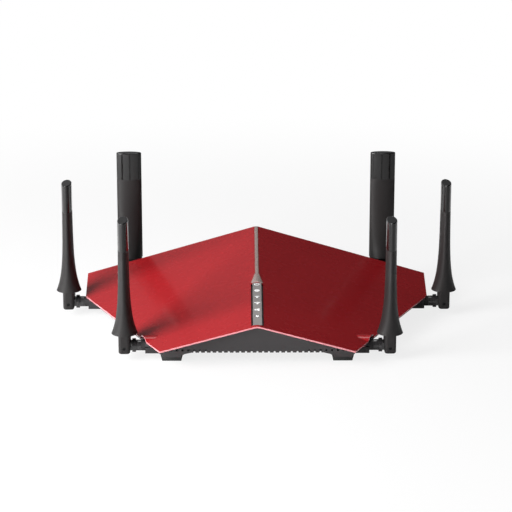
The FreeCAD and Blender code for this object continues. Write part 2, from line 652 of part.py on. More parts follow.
# ---- bottom shell ----
shell_wall = cut("shell_wall", cut("shell_block", casing_outer, chin_space),
                 cut("shell_hollow", casing_inner, chin_inside))
shell_open = cut("shell_open", common("shell_trimmed", [shell_wall, under_cover]), fuse("shell_ends", [
    leaning_slab("front_seat", f"-{BEYOND}", "grille_thick"),
    box("rear_seat", (f"-{TALL} * 2", f"{TALL} * 2"), (REAR_INNER_Y, f"rear_face_y + {BEYOND}"), ("0", TALL))]))
BOARD_SCREWS = [(f"{side} * (board_half - 8)", y) for side in (-1, 1)
                for y in ("-board_front_y + 10", "board_rear_y - 18")]
BOARD_SCREWS += [("0", "-board_front_y + 5"), ("0", "board_rear_y - 22")]
shell_parts = [shell_open]
for i, (x, y) in enumerate(CASE_SCREWS):
    shell_parts.append(cylinder(f"case_post{i}", "3.4 * screw_radius", "case_post_z - floor_z - wall / 2",
                                at=(x, y, "floor_z + wall / 2")))
for i, (x, y) in enumerate(BOARD_SCREWS):
    shell_parts.append(cylinder(f"board_post{i}", "2.6 * small_screw_radius", "board_z - floor_z - wall / 2",
                                at=(x, y, "floor_z + wall / 2")))
for name, pivot, inward in PLACES[:2]:
    shell_parts += socket_round(f"socket_{name}", pivot, inward, [
        ("socket_start", "barrel_radius"), ("socket_start + nose_length", "barrel_radius"),
        ("socket_start + nose_length + flare_length", "socket_radius"), ("socket_end", "socket_radius")])
    ends = sorted([station(pivot, inward, "socket_start + nose_length")[0], station(pivot, inward, "socket_end")[0]],
                  key=number)
    shell_parts.append(box(f"block_{name}", ends, ("-front_pivot_y - socket_block",
                                                   "-front_pivot_y + socket_block"), ("floor_z", "arm_z")))
for name, pivot, inward in PLACES[2:4]:
    ends = sorted([station(pivot, inward, "socket_start + nose_length")[0], station(pivot, inward, "socket_end")[0]],
                  key=number)
    block = box(f"block_{name}", ends, ("side_pivot_y - socket_block", "side_pivot_y + socket_block"),
                ("floor_z", "arm_z + socket_block"))
    nozzle = socket_round(f"socket_{name}", pivot, inward, [
        ("socket_start", "barrel_radius"), ("socket_start + side_nose_length", "barrel_radius")])
    shell_parts.append(common(f"socket_trimmed_{name}", [
        fuse(f"socket_joined_{name}", nozzle + [block]), under_cover]))
shell_tools = [socket_bore(f"bore_{name}", pivot, inward) for name, pivot, inward in PLACES[:4]]
shell_tools += [cylinder(f"flange_room_{name}", "flange_radius + gap", "arm_stop + 2 * gap", inward,
                         station(pivot, inward, "socket_end")) for name, pivot, inward in PLACES[:4]]
shell_tools.append(box("below_floor", (f"-{TALL} * 2", f"{TALL} * 2"), (f"-{TALL} * 2", f"{TALL} * 2"),
                       (f"-{TALL}", "floor_z")))
for i, (x, y) in enumerate(CASE_SCREWS):
    shell_tools.append(cylinder(f"case_hole{i}", "screw_radius + gap", TALL, at=(x, y, "0")))
    shell_tools.append(cylinder(f"case_sink{i}", "2 * screw_radius + gap", "case_screw_z", at=(x, y, "0")))
for i, (x, y) in enumerate(BOARD_SCREWS):
    shell_tools.append(cylinder(f"board_pilot{i}", "small_screw_radius", TALL, at=(x, y, "floor_z + wall / 2")))
for side in (-1, 1):
    for i in range(9):
        y = f"({i} - 4) * floor_vent_pitch"
        centre = f"{side} * board_half / 2"
        shell_tools.append(box(f"floor_vent{side + 1}_{i}",
                               (f"{centre} - floor_vent_half", f"{centre} + floor_vent_half"),
                               (f"{y} - floor_vent_gap / 2", f"{y} + floor_vent_gap / 2"),
                               ("0", "floor_z + wall + 1")))
node(cut("shell_cut", fuse("shell_solid", shell_parts), fuse("shell_tools", shell_tools)), "bottom_shell")

# ---- front grille ----
grille_plate = common("grille_plate", [casing_outer, under_cover, leaning_slab("grille_slab", "0", "grille_thick")])
grille_low = outline("grille_low", [
    ("-tooth_reach - pod_slope", "-1"), ("tooth_reach + pod_slope", "-1"),
    ("tooth_reach + pod_slope", "tooth_z - 2.6"), ("tooth_reach", "tooth_z"),
    ("-tooth_reach", "tooth_z"), ("-tooth_reach - pod_slope", "tooth_z - 2.6")], "XZ")
grille_tools = [
    extrude("grille_low_cut", grille_low, f"fascia_reach + {BEYOND}", (0, -1, 0)),
    spine_box("grille_notch", "channel_width + 2 * (bezel_wall + fit)", "-panel_front_y - fit", "-fascia_reach",
              "wall", f"-{BEZEL_FLOOR} - fit"),
]
ACROSS = (f"-fascia_reach - {BEYOND}", "-fascia_reach + 2 * grille_thick")
notch_count = math.floor(2 * (number("tooth_reach") - number("tooth_gap")) / number("tooth_pitch"))
for i in range(notch_count + 1):
    x = f"({i} - {notch_count} / 2) * tooth_pitch"
    grille_tools.append(box(f"notch{i}", (f"{x} - tooth_gap / 2", f"{x} + tooth_gap / 2"), ACROSS,
                            ("tooth_z - 1", "tooth_z + tooth_rise - tooth_gap / 2")))
    grille_tools.append(cylinder(f"notch_top{i}", "tooth_gap / 2", f"{BEYOND} + 2 * grille_thick", "-y",
                                 (x, ACROSS[1], "tooth_z + tooth_rise - tooth_gap / 2")))
for side in (-1, 1):
    for i in range(8):
        grille_tools.append(cylinder(f"vent{side + 1}_{i}", "vent_radius", f"{BEYOND} + 2 * grille_thick", "-y",
                                     (f"{side} * (vent_inner_x + {i} * tooth_pitch)", ACROSS[1], "vent_z")))
socket_room = [cylinder(f"grille_room_{name}", "socket_radius + fit", "socket_end", inward,
                        station(pivot, inward, "socket_start")) for name, pivot, inward in PLACES[:2]]
node(cut("grille_cut", grille_plate, fuse("grille_tools", grille_tools + socket_room)), "front_grille")

# ---- feet ----
def foot(name, x, front):
    """A rubber foot, wider at its top."""
    back = f"({front}) + foot_length"
    rings = []
    for level, (z, grow) in enumerate((("0", "0"), ("floor_z", "foot_flare"))):
        half = f"(foot_width / 2 + {grow})"
        rings.append(outline(f"{name}_ring{level}", [
            (f"({x}) - {half}", f"({front}) - {grow}"), (f"({x}) + {half}", f"({front}) - {grow}"),
            (f"({x}) + {half}", f"{back} + {grow}"), (f"({x}) - {half}", f"{back} + {grow}")], at=("0", "0", z)))
    body = doc.addObject("Part::Loft", name)
    body.Sections = rings
    body.Solid = True
    body.Ruled = True
    return body


FEET = [("-foot_x", "-foot_front_y"), ("foot_x", "-foot_front_y"),
        ("-rear_foot_x", "foot_rear_y - foot_length"), ("rear_foot_x", "foot_rear_y - foot_length")]
node(group("feet", [foot(f"foot{i}", x, y) for i, (x, y) in enumerate(FEET)]), "rubber_feet")


# ---- rear panel with its sockets ----
def buttons():
    return [("power_button", "power_button_x", "power_button_radius", "button_proud", "power_travel"),
            ("wps_button", "wps_x", "wps_radius", "button_proud", "wps_travel"),
            ("reset_button", "reset_x", "reset_radius", "-reset_sunk", "reset_travel")]


def opening(name, x, half, low, high):
    """A cut-out of the rear panel around a jack."""
    return box(name, (f"({x}) - ({half}) - gap", f"({x}) + ({half}) + gap"),
               (f"{REAR_INNER_Y} - wall", "rear_face_y + wall"), (f"{low} - gap", f"{high} + gap"))


rear_plate = common("rear_plate", [casing_outer, under_cover, box(
    "rear_slab", (f"-{TALL} * 2", f"{TALL} * 2"), (REAR_INNER_Y, "rear_face_y"), ("0", TALL))])
rear_parts = [rear_plate]
rear_tools = []
for name, pivot, inward in PLACES[4:]:
    flare_end = f"{REAR_PIVOT_Y} - rear_face_y + rear_thick / 2"
    rear_parts += socket_round(f"socket_{name}", pivot, inward, [
        ("socket_start", "barrel_radius"), ("socket_start + rear_nose_length", "barrel_radius"),
        (flare_end, "socket_radius + rear_socket_extra"), ("socket_end", "socket_radius + rear_socket_extra")])
    rear_tools.append(socket_bore(f"bore_{name}", pivot, inward))
LAN_HALF = "(2 * rj_pitch + 1)"
WAN_HALF = "(rj_pitch / 2 + 1)"
RJ_TOP = f"({BOARD_TOP} + rj_body_height)"
rear_tools += [
    opening("lan_hole", "lan_x", LAN_HALF, BOARD_TOP, RJ_TOP),
    opening("wan_hole", "wan_x", WAN_HALF, BOARD_TOP, RJ_TOP),
    opening("usb_three_hole", "usb_three_x", "usb_width / 2", BOARD_TOP, f"{BOARD_TOP} + usb_height"),
    opening("usb_two_hole", "usb_two_x", "usb_width / 2", BOARD_TOP, f"{BOARD_TOP} + usb_height"),
    opening("jack_hole", "power_x", "jack_width / 2", BOARD_TOP, f"{BOARD_TOP} + jack_height"),
]
for name, x, radius, _, _ in buttons():
    rear_tools.append(cylinder(f"{name}_hole", f"{radius} + gap", f"2 * {BEYOND}", "-y",
                               (x, f"rear_face_y + {BEYOND}", "button_z")))
node(cut("rear_cut", fuse("rear_solid", rear_parts), fuse("rear_tools", rear_tools)), "rear_panel")

# ---- buttons and their switches ----
switches = []
for name, x, radius, proud, travel in buttons():
    front = f"{REAR_INNER_Y} - gap"
    cap = cylinder(f"{name}_cap", radius, f"rear_face_y + ({proud}) - {front} + flange_thick", "-y",
                   (x, f"rear_face_y + ({proud})", "button_z"))
    flange = cylinder(f"{name}_flange", f"{radius} + flange_wide", "flange_thick", "-y", (x, front, "button_z"))
    node(fuse(f"{name}_solid", [cap, flange]), name)
    plunger = f"({front} - flange_thick - {travel} - gap)"
    switches.append(fuse(f"{name}_switch", [
        box(f"{name}_case", (f"{x} - switch_half", f"{x} + switch_half"),
            (f"{plunger} - switch_depth - 1.2", f"{plunger} - 1.2"), (BOARD_TOP, "button_z + switch_half")),
        cylinder(f"{name}_plunger", "plunger_radius", "plunger_length", "-y", (x, plunger, "button_z"))]))
node(group("switches", switches), "tact_switches")


# ---- jacks ----
def network_jack(name, x, half, count):
    rear = "rear_face_y + port_proud"
    body = box(f"{name}_body", (f"{x} - {half}", f"{x} + {half}"), (f"{rear} - rj_body_depth", rear),
               (BOARD_TOP, RJ_TOP))
    low = f"{BOARD_TOP} + rj_floor"
    tools = []
    for i in range(count):
        centre = f"({x} + ({i} - {count - 1} / 2) * rj_pitch)"
        tools.append(box(f"{name}_port{i}", (f"{centre} - rj_width / 2", f"{centre} + rj_width / 2"),
                         (f"{rear} - rj_depth", f"{rear} + 1"), (low, f"{low} + rj_height - 2")))
        tools.append(box(f"{name}_key{i}", (f"{centre} - rj_width / 3.6", f"{centre} + rj_width / 3.6"),
                         (f"{rear} - rj_depth", f"{rear} + 1"), (low, f"{low} + rj_height")))
    return cut(f"{name}_solid", body, fuse(f"{name}_ports", tools))


def usb_jack(name, x):
    rear = "rear_face_y + port_proud"
    top = f"({BOARD_TOP} + usb_height)"
    half = "usb_width / 2"
    body = box(f"{name}_body", (f"{x} - {half}", f"{x} + {half}"), (f"{rear} - usb_depth", rear), (BOARD_TOP, top))
    room = box(f"{name}_room", (f"{x} - {half} + usb_wall", f"{x} + {half} - usb_wall"),
               (f"{rear} - usb_depth + 2", f"{rear} + 1"), (f"{BOARD_TOP} + usb_wall", f"{top} - usb_wall"))
    tongue = box(f"{name}_tongue", (f"{x} - {half} + 1.8", f"{x} + {half} - 1.8"),
                 (f"{rear} - usb_depth + 1", f"{rear} - 1"), (f"{top} - usb_wall - 0.9 - tongue_thick",
                                                           f"{top} - usb_wall - 0.9"))
    return fuse(f"{name}_solid", [cut(f"{name}_shell", body, room), tongue])


node(network_jack("lan", "lan_x", LAN_HALF, 4), "lan_jacks")
node(network_jack("wan", "wan_x", WAN_HALF, 1), "wan_jack")
node(usb_jack("usb_three", "usb_three_x"), "usb3_jack")
node(usb_jack("usb_two", "usb_two_x"), "usb2_jack")
jack_rear = "rear_face_y + port_proud"
jack_axis = f"({BOARD_TOP} + jack_height / 2)"
jack_body = box("jack_body", ("power_x - jack_width / 2", "power_x + jack_width / 2"),
                (f"{jack_rear} - jack_depth", jack_rear), (BOARD_TOP, f"{BOARD_TOP} + jack_height"))
jack_room = cylinder("jack_room", "jack_bore", "jack_depth - 2", "-y", ("power_x", jack_rear, jack_axis))
jack_tip = cylinder("jack_tip", "jack_pin", "jack_depth - 2", "-y", ("power_x", f"{jack_rear} - 1", jack_axis))
node(fuse("jack_solid", [cut("jack_shell", jack_body, jack_room), jack_tip]), "power_jack")

# ---- mainboard and what stands on it ----
board_plate = pad("board_plate", [("-board_half", "-board_front_y"), ("board_half", "-board_front_y"),
                                  ("board_half", "board_rear_y"), ("-board_half", "board_rear_y")],
                  "board_z", "board_thick")
node(cut("board_cut", board_plate, fuse("board_holes", [
    cylinder(f"board_hole{i}", "small_screw_radius + gap", TALL, at=(x, y, "0"))
    for i, (x, y) in enumerate(BOARD_SCREWS)])), "mainboard")


def screw(name, x, y, seat, radius, length, down):
    """A pan-head screw with a cross recess. Its head is above its seat, or below it if down is false."""
    head = f"(1.3 * {radius})"
    if down:
        parts = [cylinder(f"{name}_head", f"2 * {radius}", head, at=(x, y, seat)),
                 cylinder(f"{name}_shank", radius, length, at=(x, y, f"{seat} - ({length})"))]
        recess = f"{seat} + {head} / 2"
    else:
        parts = [cylinder(f"{name}_head", f"2 * {radius}", head, at=(x, y, f"{seat} - {head}")),
                 cylinder(f"{name}_shank", radius, length, at=(x, y, seat))]
        recess = f"{seat} - 1.5 * {head}"
    arm, slim = f"(1.2 * {radius})", f"(0.25 * {radius})"
    cross = [box(f"{name}_cross{i}", (f"{x} - {across}", f"{x} + {across}"), (f"{y} - {along}", f"{y} + {along}"),
                 (recess, f"{recess} + {head}")) for i, (across, along) in enumerate(((arm, slim), (slim, arm)))]
    return cut(name, fuse(f"{name}_solid", parts), fuse(f"{name}_recess", cross))


node(group("screws_case", [screw(f"case_screw{i}", x, y, "case_screw_z", "screw_radius",
                                 "case_post_z - case_screw_z + 4 * screw_radius", False)
                           for i, (x, y) in enumerate(CASE_SCREWS)]), "case_screws")
node(group("screws_board", [screw(f"board_screw{i}", x, y, BOARD_TOP, "small_screw_radius",
                                  "board_thick + 4", True)
                            for i, (x, y) in enumerate(BOARD_SCREWS)]), "board_screws")
CHIP_TOP = f"({BOARD_TOP} + chip_thick)"
node(box("chip", ("-chip_half", "chip_half"), ("-chip_half", "chip_half"), (BOARD_TOP, CHIP_TOP)), "processor")
SINK_Y = ("-sink_half_y", "sink_half_y")
sink_parts = [box("sink_plate", ("-sink_half_x", "sink_half_x"), SINK_Y, (CHIP_TOP, f"{CHIP_TOP} + sink_base"))]
fin_count = 12
for i in range(fin_count):
    x = f"((2 * {i} / {fin_count - 1} - 1) * (sink_half_x - fin_thick / 2))"
    sink_parts.append(box(f"fin{i}", (f"{x} - fin_thick / 2", f"{x} + fin_thick / 2"), SINK_Y,
                          (f"{CHIP_TOP} + sink_base / 2", f"{CHIP_TOP} + sink_rise")))
node(fuse("sink_solid", sink_parts), "heat_sink")
CAN_Z = (BOARD_TOP, f"{BOARD_TOP} + can_rise")
node(group("cans", [
    box("can_left", ("-can_far_x", "-can_near_x"), ("-can_low_y", "can_high_y"), CAN_Z),
    box("can_right", ("can_near_x", "can_far_x"), ("-can_low_y", "can_high_y"), CAN_Z),
    box("can_front", ("-front_can_half", "front_can_half"), ("-front_can_far", "-front_can_near"), CAN_Z)]),
     "shield_cans")
node(group("caps", [cylinder(f"cap{i}", "cap_radius", "cap_rise", at=(f"cap_x + {i} * 2.5 * cap_radius", "cap_y",
                                                                     BOARD_TOP)) for i in range(3)]), "capacitors")


# ---- leads from the arms to the radio cans ----
def lead(name, points, radius):
    """A thin cable: straight runs with a tangent arc at each corner, whose length is 0.45 of the shorter run."""
    edges = []
    start = points[0]
    for before, corner, after in zip(points, points[1:], points[2:]):
        back, ahead = (before - corner), (after - corner)
        reach = 0.45 * min(back.Length, ahead.Length)
        enter = corner + back.normalize() * reach
        leave = corner + ahead.normalize() * reach
        half_turn = enter.sub(corner).getAngle(leave.sub(corner)) / 2
        inward = (enter + leave) / 2 - corner
        centre_far = reach / math.cos(half_turn)
        middle = corner + inward.normalize() * (centre_far - reach * math.tan(half_turn))
        edges.append(Part.LineSegment(start, enter).toShape())
        edges.append(Part.Arc(enter, middle, leave).toShape())
        start = leave
    edges.append(Part.LineSegment(start, points[-1]).toShape())
    path = Part.Wire(edges)
    section = Part.Wire(Part.makeCircle(radius, points[0], points[1] - points[0]))
    thing = doc.addObject("Part::Feature", name)
    thing.Shape = path.makePipeShell([section], True, False)
    return thing


ARM_END = number("socket_end + fit + arm_stop + gap")
LEAD_Z = number(f"{BOARD_TOP} + can_rise / 2")
CAN_SIDE, CAN_FRONT = number("can_far_x"), number("front_can_half")
FRONT_CAN_Y = -number("(front_can_far + front_can_near) / 2")
FRONT_ARM = [number(text) for text in ("front_pivot_x", "-front_pivot_y", "arm_z")]
SIDE_ARM = [number(text) for text in ("side_pivot_x", "side_pivot_y", "arm_z")]
REAR_ARM = [number(text) for text in ("rear_pivot_x", REAR_PIVOT_Y, "rear_arm_z")]
# each route starts at the end of its arm and runs straight for a while before it turns towards its can
ROUTES = [
    [(FRONT_ARM[0] - ARM_END - back, FRONT_ARM[1] + over, FRONT_ARM[2] + up)
     for back, over, up in ((0, 0, 0), (11, 0, 0), (23, 13, 1.6))]
    + [(FRONT_ARM[0] - ARM_END - 33, FRONT_ARM[1] + 37, LEAD_Z + 0.8), (CAN_FRONT + 14, FRONT_CAN_Y, LEAD_Z),
       (CAN_FRONT, FRONT_CAN_Y, LEAD_Z)],
    [(SIDE_ARM[0] - ARM_END, *SIDE_ARM[1:]), (SIDE_ARM[0] - ARM_END - 14, *SIDE_ARM[1:]),
     (CAN_SIDE + 32, SIDE_ARM[1] - 7.2, LEAD_Z + 0.8), (CAN_SIDE + 13, 4, LEAD_Z), (CAN_SIDE, 4, LEAD_Z)],
    [(REAR_ARM[0], REAR_ARM[1] - ARM_END, REAR_ARM[2]), (REAR_ARM[0], REAR_ARM[1] - ARM_END - 12, REAR_ARM[2]),
     (CAN_SIDE + 33, 54, LEAD_Z + 1.8), (CAN_SIDE + 20, 37, LEAD_Z + 0.8), (CAN_SIDE + 12, 19, LEAD_Z),
     (CAN_SIDE, 19, LEAD_Z)],
]
leads = [lead(f"lead{side + 1}_{i}", [FreeCAD.Vector(side * x, y, z) for x, y, z in route],
              number("lead_radius"))
         for side in (-1, 1) for i, route in enumerate(ROUTES)]
node(group("leads", leads), "coax_leads")


# ---- antennas ----
def oval(half_x, half_y, z):
    """A closed ellipse at a height, as a scaled circle."""
    scale = FreeCAD.Matrix()
    scale.scale(half_x, half_y, 1)
    circle = Part.makeCircle(1).transformGeometry(scale)
    circle.translate(FreeCAD.Vector(0, 0, z))
    return Part.Wire(circle)


def oval_bar(sections):
    return Part.makeLoft([oval(*section) for section in sections], True, False)


def blade(low, high, steps):
    """The flared blade between two heights. Its thickness falls off as an exponential above the skirt's edge."""
    skirt, decay = number("skirt_z"), number("skirt_decay")
    sections = []
    for i in range(steps + 1):
        z = low + (high - low) * (i / steps) ** 1.5
        thin = number("blade_thin") + number("skirt_flare") * math.exp((skirt - z) / decay)
        sections.append((thin, number("blade_half"), z))
    return oval_bar(sections)


def knuckle_block():
    """The block below the blade that holds the pin: its upright edges and its lower edge are rounded."""
    half_x, half_y = number("knuckle_thin"), number("knuckle_half")
    low, high = -number("knuckle_drop"), number("skirt_z") + 1
    block = Part.makeBox(2 * half_x, 2 * half_y, high - low, FreeCAD.Vector(-half_x, -half_y, low))
    upright = [edge for edge in block.Edges if abs(edge.Vertexes[0].Z - edge.Vertexes[1].Z) > 1]
    block = block.makeFillet(number("knuckle_corner"), upright)
    lower = [edge for edge in block.Edges if max(v.Z for v in edge.Vertexes) < low + 0.01]
    return block.makeFillet(number("knuckle_edge"), lower)


def solid_of(name, shape):
    thing = doc.addObject("Part::Feature", name)
    thing.Shape = shape
    return thing


SEAM_Z = number("antenna_rise") - number("tip_length")
CAVITY = (number("blade_thin") - number("blade_wall"), number("blade_half") - number("blade_wall"))
TURN_OF = {"x": 0, "-x": 180, "-y": -90}


def seat(thing, pivot, inward):
    """Moves a piece of an antenna from its own frame, where the arm runs along +X, to its place."""
    thing.Placement.Rotation = FreeCAD.Rotation(FreeCAD.Vector(0, 0, 1), TURN_OF[inward])
    return place(thing, *pivot)


def antenna(name, pivot, inward):
    flare = solid_of(f"flare_{name}", blade(number("skirt_z"), SEAM_Z, 7))
    cavity_low = number("cavity_z")
    cavity = solid_of(f"cavity_{name}", oval_bar([(*CAVITY, cavity_low), (*CAVITY, SEAM_Z + 1)]))
    knuckle = solid_of(f"knuckle_{name}", knuckle_block())
    side = ("-tongue_half - fit", "tongue_half + fit")
    wide = ("-collar_radius - gap", "collar_radius + gap")
    slot = box(f"slot_{name}", ("-tongue_thin - gap", "2 * blade_half"), side,
               ("-2 * knuckle_drop", "tongue_thin + 2 * gap"))
    relief = cut(f"relief_{name}", box(f"relief_box_{name}", ("-blade_half", "blade_half"), wide,
                                       ("-2 * knuckle_drop", "0")),
                 cylinder(f"relief_core_{name}", "collar_start - gap", "4 * blade_half", "y",
                          ("0", "-2 * blade_half", "0")))
    hole = cylinder(f"pin_hole_{name}", "pin_radius", "4 * blade_half", "y", ("0", "-2 * blade_half", "0"))
    shell = cut(f"shell_{name}", fuse(f"shell_solid_{name}", [flare, knuckle]),
                fuse(f"shell_tools_{name}", [cavity, slot, relief, hole]))
    node(seat(shell, pivot, inward), f"antenna_shell_{name}")

    top = number("antenna_rise")
    cap = blade(SEAM_Z, top, 3)
    rim = [edge for edge in cap.Edges if min(v.Z for v in edge.Vertexes) > top - 0.01]
    cap = cap.makeFillet(0.8, rim)
    plug_low = SEAM_Z - number("plug_depth")
    play = number("running")
    cap = cap.fuse(oval_bar([(CAVITY[0] - play, CAVITY[1] - play, plug_low),
                             (CAVITY[0] - play, CAVITY[1] - play, SEAM_Z + 1)]))
    room = [(CAVITY[0] - 1.2, CAVITY[1] - 1.2, plug_low - 1),
            (CAVITY[0] - 1.2, CAVITY[1] - 1.2, top - number("tip_length") / 3)]
    tip = solid_of(f"tip_{name}", cap.cut(oval_bar(room)))
    node(seat(tip, pivot, inward), f"antenna_tip_{name}")

    strip = box(f"strip_{name}", ("-radiator_thick / 2", "radiator_thick / 2"),
                ("-radiator_width / 2", "radiator_width / 2"), ("cavity_z", "cavity_z + radiator_length"))
    node(seat(group(f"radiator_solid_{name}", [strip]), pivot, inward), f"radiator_{name}")
    pin = cylinder(f"pin_bar_{name}", "pin_radius", "2 * (knuckle_half - pin_short)", "y",
                   ("0", "-knuckle_half + pin_short", "0"))
    node(seat(group(f"pin_{name}", [pin]), pivot, inward), f"hinge_pin_{name}")

    arm = fuse(f"arm_solid_{name}", [
        cylinder(f"tongue_end_{name}", "tongue_thin", "2 * tongue_half", "y", ("0", "-tongue_half", "0")),
        box(f"tongue_{name}", ("0", "collar_start + 1"), ("-tongue_half", "tongue_half"),
            ("-tongue_thin", "tongue_thin")),
        cylinder(f"collar_{name}", "collar_radius", "collar_end - collar_start", "x", ("collar_start", "0", "0")),
        cylinder(f"barrel_{name}", "barrel_radius", "socket_start - fit - collar_end + 1", "x",
                 ("collar_end - 1", "0", "0")),
        cylinder(f"journal_{name}", "journal_radius", "socket_end + fit - collar_end", "x",
                 ("collar_end", "0", "0")),
        cylinder(f"flange_{name}", "flange_radius", "arm_stop", "x", ("socket_end + fit", "0", "0"))])
    bores = fuse(f"arm_bores_{name}", [
        cylinder(f"arm_pin_hole_{name}", "pin_radius + running", "4 * blade_half", "y",
                 ("0", "-2 * blade_half", "0")),
        cylinder(f"lead_bore_{name}", "lead_bore", TALL, "x", ("collar_start", "0", "0"))])
    node(seat(cut(f"arm_{name}", arm, bores), pivot, inward), f"swivel_arm_{name}")


for place_of in PLACES:
    antenna(*place_of)

# ---- check and write ----
doc.recompute()
faults = [f"{thing.Name}: {thing.State}" for thing in doc.Objects
          if "Invalid" in thing.State or "Error" in thing.State]
for thing in nodes:
    if thing.Shape.isNull() or not thing.Shape.isValid() or not thing.Shape.Solids:
        faults.append(f"{thing.Label}: no valid solid")
if faults:
    raise RuntimeError("the model has faults: " + "; ".join(faults))
os.makedirs("parts", exist_ok=True)
for thing in nodes:
    thing.Shape.exportStep(f"parts/{thing.Label}.step")
    print(f"{thing.Label}: {len(thing.Shape.Solids)} solid(s), {thing.Shape.Volume:.0f} mm3")
print(f"{len(nodes)} nodes")
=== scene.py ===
import json
import math
import bmesh
import bpy
import numpy as np
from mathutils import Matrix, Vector


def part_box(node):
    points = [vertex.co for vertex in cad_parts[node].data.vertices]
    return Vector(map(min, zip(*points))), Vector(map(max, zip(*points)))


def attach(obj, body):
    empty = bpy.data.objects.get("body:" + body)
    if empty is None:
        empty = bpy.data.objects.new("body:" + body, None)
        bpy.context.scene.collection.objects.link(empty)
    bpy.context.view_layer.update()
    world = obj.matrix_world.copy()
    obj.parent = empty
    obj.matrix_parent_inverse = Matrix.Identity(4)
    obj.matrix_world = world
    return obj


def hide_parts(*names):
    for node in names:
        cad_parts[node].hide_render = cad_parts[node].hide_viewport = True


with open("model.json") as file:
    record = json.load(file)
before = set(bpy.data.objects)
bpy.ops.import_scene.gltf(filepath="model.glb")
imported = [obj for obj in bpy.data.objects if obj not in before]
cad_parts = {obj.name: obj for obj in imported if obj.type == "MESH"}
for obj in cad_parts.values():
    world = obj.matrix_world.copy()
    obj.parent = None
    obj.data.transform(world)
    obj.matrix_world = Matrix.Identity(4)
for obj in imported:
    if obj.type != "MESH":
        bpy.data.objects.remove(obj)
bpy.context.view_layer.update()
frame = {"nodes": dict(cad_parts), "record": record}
nodes = frame["nodes"]
scene = bpy.context.scene
mm = 0.001
print("frame loaded:", len(nodes), "nodes")


def toLinear(hexColour):
    # sRGB to linear: c / 12.92 for dark values, ((c + 0.055) / 1.055) ** 2.4 for the others
    values = [int(hexColour[i:i + 2], 16) / 255 for i in (1, 3, 5)]
    return [c / 12.92 if c <= 0.04045 else ((c + 0.055) / 1.055) ** 2.4 for c in values] + [1.0]


def addNode(tree, kind, settings=None, links=None):
    # one node: settings are its own options or its sockets' values, and links feed its sockets
    made = tree.nodes.new("ShaderNode" + kind)
    for name, value in (settings or {}).items():
        if isinstance(name, str) and name in made.bl_rna.properties:
            setattr(made, name, value)
        else:
            made.inputs[name].default_value = value
    for name, source in (links or {}).items():
        tree.links.new(source, made.inputs[name])
    return made


def startMaterial(name, shader):
    # a Principled shader with its constant values on its own sockets, and the piece's Object coordinates
    material = bpy.data.materials.new(name)
    material.use_nodes = True
    tree = material.node_tree
    tree.nodes.clear()
    surface = addNode(tree, "BsdfPrincipled", shader)
    addNode(tree, "OutputMaterial", links={"Surface": surface.outputs["BSDF"]})
    place = addNode(tree, "TexCoord").outputs["Object"]
    material.diffuse_color = toLinear("#808080")
    return material, tree, surface, place


def mouldedPlastic(name, look):
    # moulded plastic: a slow change of shade over the part, and the fine texture of the mould or its lacquer
    material, tree, surface, place = startMaterial(name, look["shader"])
    slow = addNode(tree, "TexNoise", {"Scale": 1 / (look["mottleMm"] * mm), "Detail": 2.0, "Roughness": 0.5},
                   {"Vector": place})
    tint = addNode(tree, "Mix", {"data_type": "RGBA", 6: toLinear(look["colour"]), 7: toLinear(look["shade"])},
                   {0: slow.outputs["Fac"]})
    tree.links.new(tint.outputs[2], surface.inputs["Base Color"])
    grain = addNode(tree, "TexNoise", {"Scale": 1 / (look["grainMm"] * mm), "Detail": 3.0, "Roughness": 0.55},
                    {"Vector": place})
    gloss = addNode(tree, "MapRange", {"To Min": look["roughness"][0], "To Max": look["roughness"][1]},
                    {"Value": grain.outputs["Fac"]})
    tree.links.new(gloss.outputs[0], surface.inputs["Roughness"])
    relief = addNode(tree, "Bump", {"Strength": 1.0, "Distance": look["depthMm"] * mm},
                     {"Height": grain.outputs["Fac"]})
    tree.links.new(relief.outputs[0], surface.inputs["Normal"])
    if look.get("coatToo"):
        tree.links.new(relief.outputs[0], surface.inputs["Coat Normal"])
    return material


def flakePaint(name, look):
    # metallic paint: small flakes that each catch the light a little differently, under a satin lacquer
    material, tree, surface, place = startMaterial(name, look["shader"])
    flakes = addNode(tree, "TexVoronoi", {"Scale": 1 / (look["flakeMm"] * mm)}, {"Vector": place})
    share = addNode(tree, "SeparateColor", links={"Color": flakes.outputs["Color"]})
    tint = addNode(tree, "Mix", {"data_type": "RGBA", 6: toLinear(look["colour"]), 7: toLinear(look["shade"])},
                   {0: share.outputs[0]})
    tree.links.new(tint.outputs[2], surface.inputs["Base Color"])
    gloss = addNode(tree, "MapRange", {"To Min": look["roughness"][0], "To Max": look["roughness"][1]},
                    {"Value": share.outputs[1]})
    tree.links.new(gloss.outputs[0], surface.inputs["Roughness"])
    relief = addNode(tree, "Bump", {"Strength": 0.6, "Distance": look["depthMm"] * mm},
                     {"Height": share.outputs[2]})
    tree.links.new(relief.outputs[0], surface.inputs["Normal"])
    return material


def drawnMetal(name, look):
    # rolled or drawn metal: fine lines along one axis, made by stretching a noise with a Mapping node
    material, tree, surface, place = startMaterial(name, look["shader"])
    stretch = addNode(tree, "Mapping", {"Scale": look["stretch"]}, {"Vector": place})
    lines = addNode(tree, "TexNoise", {"Scale": 1 / (look["lineMm"] * mm), "Detail": 4.0},
                    {"Vector": stretch.outputs[0]})
    tint = addNode(tree, "Mix", {"data_type": "RGBA", 6: toLinear(look["colour"]), 7: toLinear(look["shade"])},
                   {0: lines.outputs["Fac"]})
    tree.links.new(tint.outputs[2], surface.inputs["Base Color"])
    gloss = addNode(tree, "MapRange", {"To Min": look["roughness"][0], "To Max": look["roughness"][1]},
                    {"Value": lines.outputs["Fac"]})
    tree.links.new(gloss.outputs[0], surface.inputs["Roughness"])
    relief = addNode(tree, "Bump", {"Strength": 1.0, "Distance": look["depthMm"] * mm},
                     {"Height": lines.outputs["Fac"]})
    tree.links.new(relief.outputs[0], surface.inputs["Normal"])
    return material


